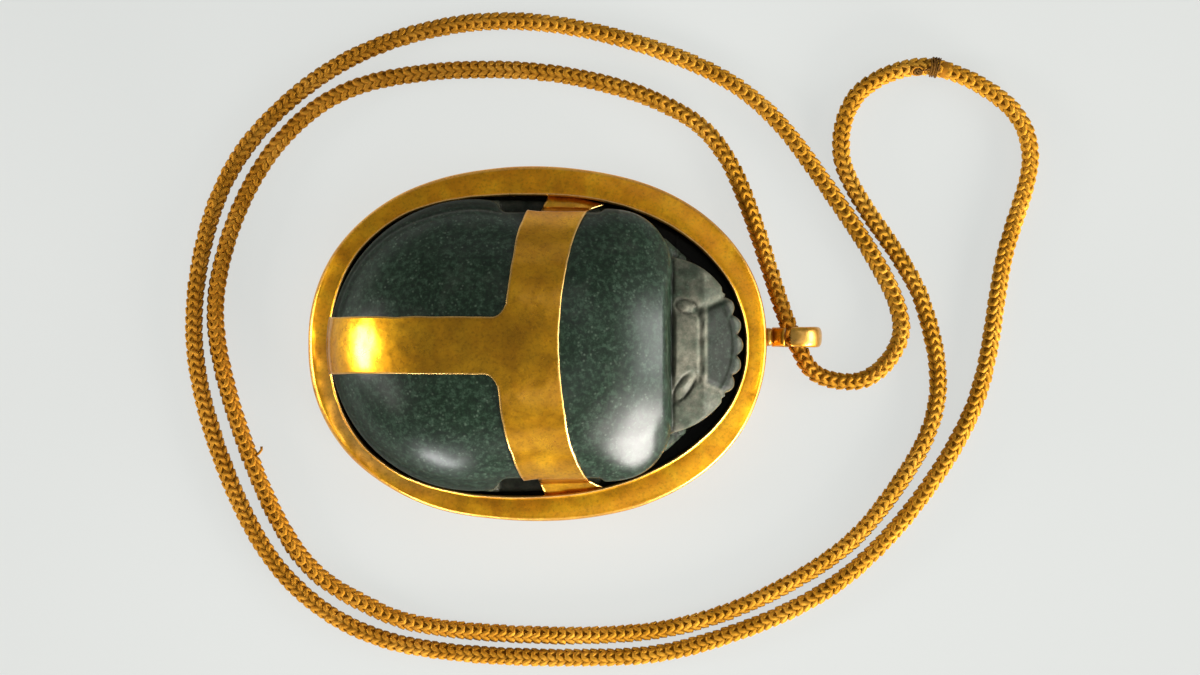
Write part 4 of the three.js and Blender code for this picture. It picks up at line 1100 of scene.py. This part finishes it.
def chain_mesh():
    pitch = 1.26
    wire = 0.35
    R = CHAIN_D / 2 + 0.05
    count = int(LEN / pitch)
    s_i = (np.arange(count) + 0.5) * LEN / count
    p = LEN / count
    us = np.array([-1, -0.62, -0.26, 0.26, 0.62, 1.0])
    verts, faces, grime_and_shade, tarnish_and_shade = [], [], [], []
    total = 0
    M = 5

    def tarnish_and_shade_mask(p):
        """Browner near the ring, as tarnishing, and towards the tail side and the top, as painted shade."""
        near = np.hypot(p[..., 0] - RING_X, p[..., 1] - RING_Y)
        return np.clip(0.6 * smooth01(1 - (near - 2) / 14) + 0.42 * smooth01((22 - p[..., 0]) / 50) + 0.12 * smooth01((p[..., 1] - 15) / 25), 0, 1)

    twist = 0.9 * noise(s_i, 0, 0, 55.0, 61) + 0.35 * noise(s_i, 0, 0, 17.0, 62) + 0.4
    for k in range(4):
        jit = 0.09 * noise(s_i, k * 7, 0, 1.1, 63)
        S = s_i[:, None] + p * (0.52 - 1.12 * np.abs(us)[None] ** 1.15) + jit[:, None]
        beta = math.radians(44) * us[None]
        phi = twist[:, None] + k * math.pi / 2 + beta + 0.04 * noise(s_i, k * 5, 3, 1.3, 64)[:, None]
        rad = R - wire - 0.02 - 0.29 * np.abs(us)[None] ** 3.2 - 0.06 * np.clip(1 - np.abs(us) * 2.2, 0, 1)[None]
        rad = rad + 0.05 * noise(s_i, k * 9, 0, 1.2, 65)[:, None]
        base, sd, up, tg = frame_at(S)
        out = np.cos(phi)[..., None] * sd + np.sin(phi)[..., None] * up
        path = base + out * rad[..., None]                       # count, 7, 3
        t = np.gradient(path, axis=1)
        t /= np.linalg.norm(t, axis=2, keepdims=True)
        a = np.cross(t, out)
        a /= np.linalg.norm(a, axis=2, keepdims=True)
        b = np.cross(a, t)
        w = wire * np.array([0.8, 1.0, 1.0, 1.0, 1.0, 0.8])[None, :, None, None]
        psi = 2 * math.pi * (np.arange(M) + 0.5) / M
        ringp = path[:, :, None] + w * (1.1 * np.cos(psi)[None, None, :, None] * a[:, :, None] + 0.82 * np.sin(psi)[None, None, :, None] * b[:, :, None])
        n, m = len(s_i), len(us)
        verts.append(ringp.reshape(-1, 3))
        q = grid_faces(m, M, wrap_m=True)
        q = (q[None] + (np.arange(n) * m * M)[:, None, None]).reshape(-1, 4) + total
        faces.append(q)
        cap = np.array([[0, 1, 2], [0, 2, 3], [0, 3, 4]])
        c0 = cap[:, ::-1][None] + (np.arange(n) * m * M)[:, None, None]
        c1 = cap[None] + (np.arange(n) * m * M + (m - 1) * M)[:, None, None]
        faces.append((np.concatenate([c0, c1], 1) if True else c0).reshape(-1, 3) + total)
        # the ends of each wire, where it dives into the plait, darkened: painted shade
        hv = 0.45 * np.clip(np.abs(us) * 1.9 - 1.0, 0, 1)[None, :, None] * np.ones((n, 1, M))
        grime_and_shade.append(hv.ravel())
        tv = tarnish_and_shade_mask(path)[:, :, None] * np.ones((n, m, M))
        tarnish_and_shade.append(tv.ravel())
        total += n * m * M
    # inside of the plait, darkened as painted shade
    step = 1.2
    ss = np.linspace(0.05, LEN - 0.05, int(LEN / step))
    base, sd, up, tg = frame_at(ss)
    K = 8
    ps = 2 * math.pi * np.arange(K) / K
    core = base[:, None] + (R - 0.46) * (np.cos(ps)[None, :, None] * sd[:, None] + np.sin(ps)[None, :, None] * up[:, None])
    v, f = sweep_closed(list(core))
    verts.append(v)
    quads = [x for x in faces if x.shape[1] == 4]
    tris = [x for x in faces if x.shape[1] == 3]
    quads.append(f[0] + total)
    tris += [f[1] + total, f[2] + total]
    grime_and_shade.append(np.ones(len(v)))
    tarnish_and_shade.append(np.full(len(v), 0.3))
    nq = sum(len(x) for x in quads[:-1])
    total += len(v)
    # a broken end of wire that stands out of the chain
    j = int(np.argmin(np.hypot(line[:, 0] + 41.3, line[:, 1] + 16.6)))
    root, out = line[j], side[j]
    burr = [root + out * r + np.array([0, 0, 0.5]) + tang[j] * q for r, q in ((0.9, 0.0), (1.5, -0.15), (2.05, -0.5), (2.2, -0.95))]
    secs = []
    for i, c in enumerate(burr):
        d = burr[min(i + 1, 3)] - burr[max(i - 1, 0)]
        d = d / np.linalg.norm(d)
        e1 = np.cross(d, [0, 0, 1.0])
        e1 /= np.linalg.norm(e1)
        e2 = np.cross(e1, d)
        secs.append(np.array([c + 0.2 * (math.cos(a) * e1 + math.sin(a) * e2) for a in np.linspace(0, 2 * math.pi, 6, endpoint=False)]))
    v, f = sweep_closed(secs)
    verts.append(v)
    quads.append(f[0] + total)
    tris += [f[1] + total, f[2] + total]
    grime_and_shade.append(np.full(len(v), 0.4))
    tarnish_and_shade.append(np.full(len(v), 0.4))
    Q, T = np.concatenate(quads), np.concatenate(tris)
    core_quads = np.zeros(len(Q), int)
    core_quads[nq:nq + (len(ss) - 1) * K] = 1
    core_tris = np.zeros(len(T), int)
    ob = make_mesh("chain_links", np.concatenate(verts), [Q, T], [CHAIN, CHAIN_CORE_SHADED], mat_index=np.concatenate([core_quads, core_tris]))
    vertex_value(ob, "grime_and_shade", np.concatenate(grime_and_shade))
    vertex_value(ob, "tarnish_and_shade", np.concatenate(tarnish_and_shade))
    return ob


chain = chain_mesh()
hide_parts("chain")
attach(chain, "root")


# ------------------------------------------------------------------ the tie
def tube_points(pts, r, sides=7):
    P = np.array(pts, float)
    t = np.gradient(P, axis=0)
    t /= np.linalg.norm(t, axis=1, keepdims=True)
    ref = np.array([0.13, 0.27, 0.95])
    secs = []
    prev = None
    for c, d in zip(P, t):
        e1 = np.cross(d, ref) if prev is None else prev - d * prev.dot(d)
        e1 /= np.linalg.norm(e1)
        prev = e1
        e2 = np.cross(d, e1)
        secs.append(np.array([c + r * (math.cos(a) * e1 + math.sin(a) * e2) for a in np.linspace(0, 2 * math.pi, sides, endpoint=False)]))
    return sweep_closed(secs)


def tie_mesh():
    j = int(np.argmin(np.hypot(line[:, 0] - 59.5, line[:, 1] - 41.6)))
    s0 = grid[j]
    verts, faces, total = [], [], 0

    def add(pts, r):
        nonlocal total
        v, f = tube_points(pts, r)
        verts.append(v)
        faces.extend([x + total for x in f])
        total += len(v)

    def on_chain(s, phi, rad):
        b, sd, up, tg = frame_at(np.array([s]))
        return (b + rad * (math.cos(phi) * sd + math.sin(phi) * up))[0]

    # turns round the chain, sunk among its wires
    add([on_chain(s0 - 0.75 + 1.2 * k + 0.08 * math.sin(k * 40), k * 2 * math.pi * 3.2 + 0.6, 1.44 + 0.05 * math.sin(k * 23)) for k in np.linspace(0, 1, 90)], 0.13)
    add([on_chain(s0 - 0.2 + 0.75 * k, -k * 2 * math.pi * 1.3 + 2.0, 1.5) for k in np.linspace(0, 1, 44)], 0.1)
    # one strand runs along the chain and is knotted in a stitch nearer the pendant
    add([on_chain(s0 - 0.5 - 2.1 * k, 1.75 + 0.45 * k, 1.46 + 0.06 * math.sin(3 * k)) for k in np.linspace(0, 1, 22)], 0.12)
    add([on_chain(s0 - 2.8 + 0.5 * math.cos(6 * k), 2.25 + 0.3 * math.sin(6 * k), 1.40) for k in np.linspace(0, 1, 26)], 0.15)
    add([on_chain(s0 - 3.1 + 0.9 * k, 2.05 + 0.5 * k, 1.44) for k in np.linspace(0, 1, 12)], 0.13)
    n_thread = sum(len(f) for f in faces)
    # gold: the end loop round that knot, and a smooth sleeve past the turns
    add([on_chain(s0 - 2.8 + 0.9 * math.cos(t), 2.2 + 0.55 * math.sin(t), 1.40) for t in np.linspace(0.3, 6.6, 40)], 0.13)
    b0, sd0, up0, tg0 = frame_at(s0 + np.array([0.62, 0.72, 0.95, 1.3, 1.7, 2.05, 2.25, 2.35]))
    radii = np.array([1.10, 1.20, 1.26, 1.28, 1.28, 1.25, 1.20, 1.10])
    secs = [b0[i] + radii[i] * np.array([math.cos(a) * sd0[i] + math.sin(a) * up0[i] for a in np.linspace(0, 2 * math.pi, 26, endpoint=False)]) for i in range(8)]
    v, f = sweep_closed(secs)
    verts.append(v + 0.03 * np.stack([noise(*v.T, 1.0, 71), noise(*v.T, 1.0, 72), noise(*v.T, 1.0, 73)], 1))
    faces.extend([x + total for x in f])
    total += len(v)
    kinds, seen = [], 0
    for f in faces:
        kinds.append(np.full(len(f), 0 if seen < n_thread else 1))
        seen += len(f)
    ob = make_mesh("chain_tie_thread", np.concatenate(verts), faces, [THREAD, CHAIN], mat_index=np.concatenate(kinds))
    vertex_value(ob, "tarnish_and_shade", np.full(total, 0.8))
    vertex_value(ob, "grime_and_shade", np.full(total, 0.12))
    return ob


tie = tie_mesh()
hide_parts("chain_tie")
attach(tie, "root")

# ------------------------------------------------------------------ table, glowing as painted light, and lamps
glowing_floor_mat, nt, b = new_material("table")
g = Nodes(nt)
b.inputs["Base Color"].default_value = (0.12, 0.122, 0.12, 1.0)
# the floor glows, which lifts it and fills the shadows: painted light
b.inputs["Emission Color"].default_value = (0.975, 1.0, 0.975, 1.0)
# the glow is stronger near the middle: a painted pool of light
light_pool_radius = nt.nodes.new("ShaderNodeVectorMath")
light_pool_radius.operation = "LENGTH"
g.link(g.coord, light_pool_radius.inputs[0])
g.link(g.range(light_pool_radius.outputs["Value"], 0.02, 0.13, 0.665, 0.600), b.inputs["Emission Strength"])
b.inputs["Roughness"].default_value = 0.7
b.inputs["Specular IOR Level"].default_value = 0.0
F = 1500.0
floor = make_mesh("table", np.array([[-F, -F, 0], [F, -F, 0], [F, F, 0], [-F, F, 0]]) - np.array([0, 0, 0.02]), np.array([[0, 1, 2, 3]]), [glowing_floor_mat], smooth=False)


def softbox(name, azimuth, elevation, distance, w, h, power, color=(1, 1, 1)):
    """An area light that looks at the object. Azimuth 0 is +X, 90 is +Y."""
    data = bpy.data.lights.new(name, "AREA")
    data.shape = "RECTANGLE"
    data.size, data.size_y = w * MM, h * MM
    data.energy = power
    data.color = color
    ob = bpy.data.objects.new(name, data)
    a, e = math.radians(azimuth), math.radians(elevation)
    pos = Vector((math.cos(a) * math.cos(e), math.sin(a) * math.cos(e), math.sin(e))) * distance * MM
    ob.location = pos
    ob.rotation_euler = (-pos).to_track_quat("-Z", "Y").to_euler()
    bpy.context.scene.collection.objects.link(ob)
    return ob


def box_light(name, azimuth, elevation, distance, w, h, radiance, color=(1, 1, 1)):
    return softbox(name, azimuth, elevation, distance, w, h, math.pi * w * h * MM * MM * radiance, color)


box_light("key_low_right", -44, 11, 900, 420, 290, 42.0, (1.0, 0.95, 0.91))
box_light("low_front", -109, 7, 900, 260, 120, 36.0)
box_light("left", 181, 17, 900, 250, 180, 42.0, (1.0, 0.97, 0.95))
box_light("right", 1, 20, 900, 420, 300, 7.5, (0.97, 1.0, 0.96))
box_light("right_wide", -2, 19, 920, 860, 340, 5.0, (0.97, 1.0, 0.96))
box_light("left_front", 206, 30, 900, 280, 240, 3.0, (1.0, 0.95, 0.9))
box_light("back", 91, 27, 1000, 700, 300, 0.3)
box_light("front", -90, 24, 900, 500, 300, 0.8)
box_light("upper_back", 42, 60, 1000, 620, 300, 0.65)
box_light("upper_front", -46, 60, 1000, 700, 300, 0.95)

# the room: dim straight above, a little brighter towards the front and the right
world = bpy.data.worlds.new("world")
bpy.context.scene.world = world
world.use_nodes = True
wt = world.node_tree
bg = wt.nodes["Background"]
tc = wt.nodes.new("ShaderNodeTexCoord")
grad = wt.nodes.new("ShaderNodeVectorMath")
grad.operation = "DOT_PRODUCT"
grad.inputs[1].default_value = (0.6, -0.8, 0.0)
wt.links.new(tc.outputs["Generated"], grad.inputs[0])
wr = wt.nodes.new("ShaderNodeMapRange")
for k, v in zip(("From Min", "From Max", "To Min", "To Max"), (-0.9, 0.9, 0.225, 0.30)):
    wr.inputs[k].default_value = v
wt.links.new(grad.outputs["Value"], wr.inputs["Value"])
wt.links.new(wr.outputs["Result"], bg.inputs[1])
bg.inputs[0].default_value = (0.97, 1.0, 0.98, 1.0)

bpy.context.scene.view_settings.view_transform = "Standard"
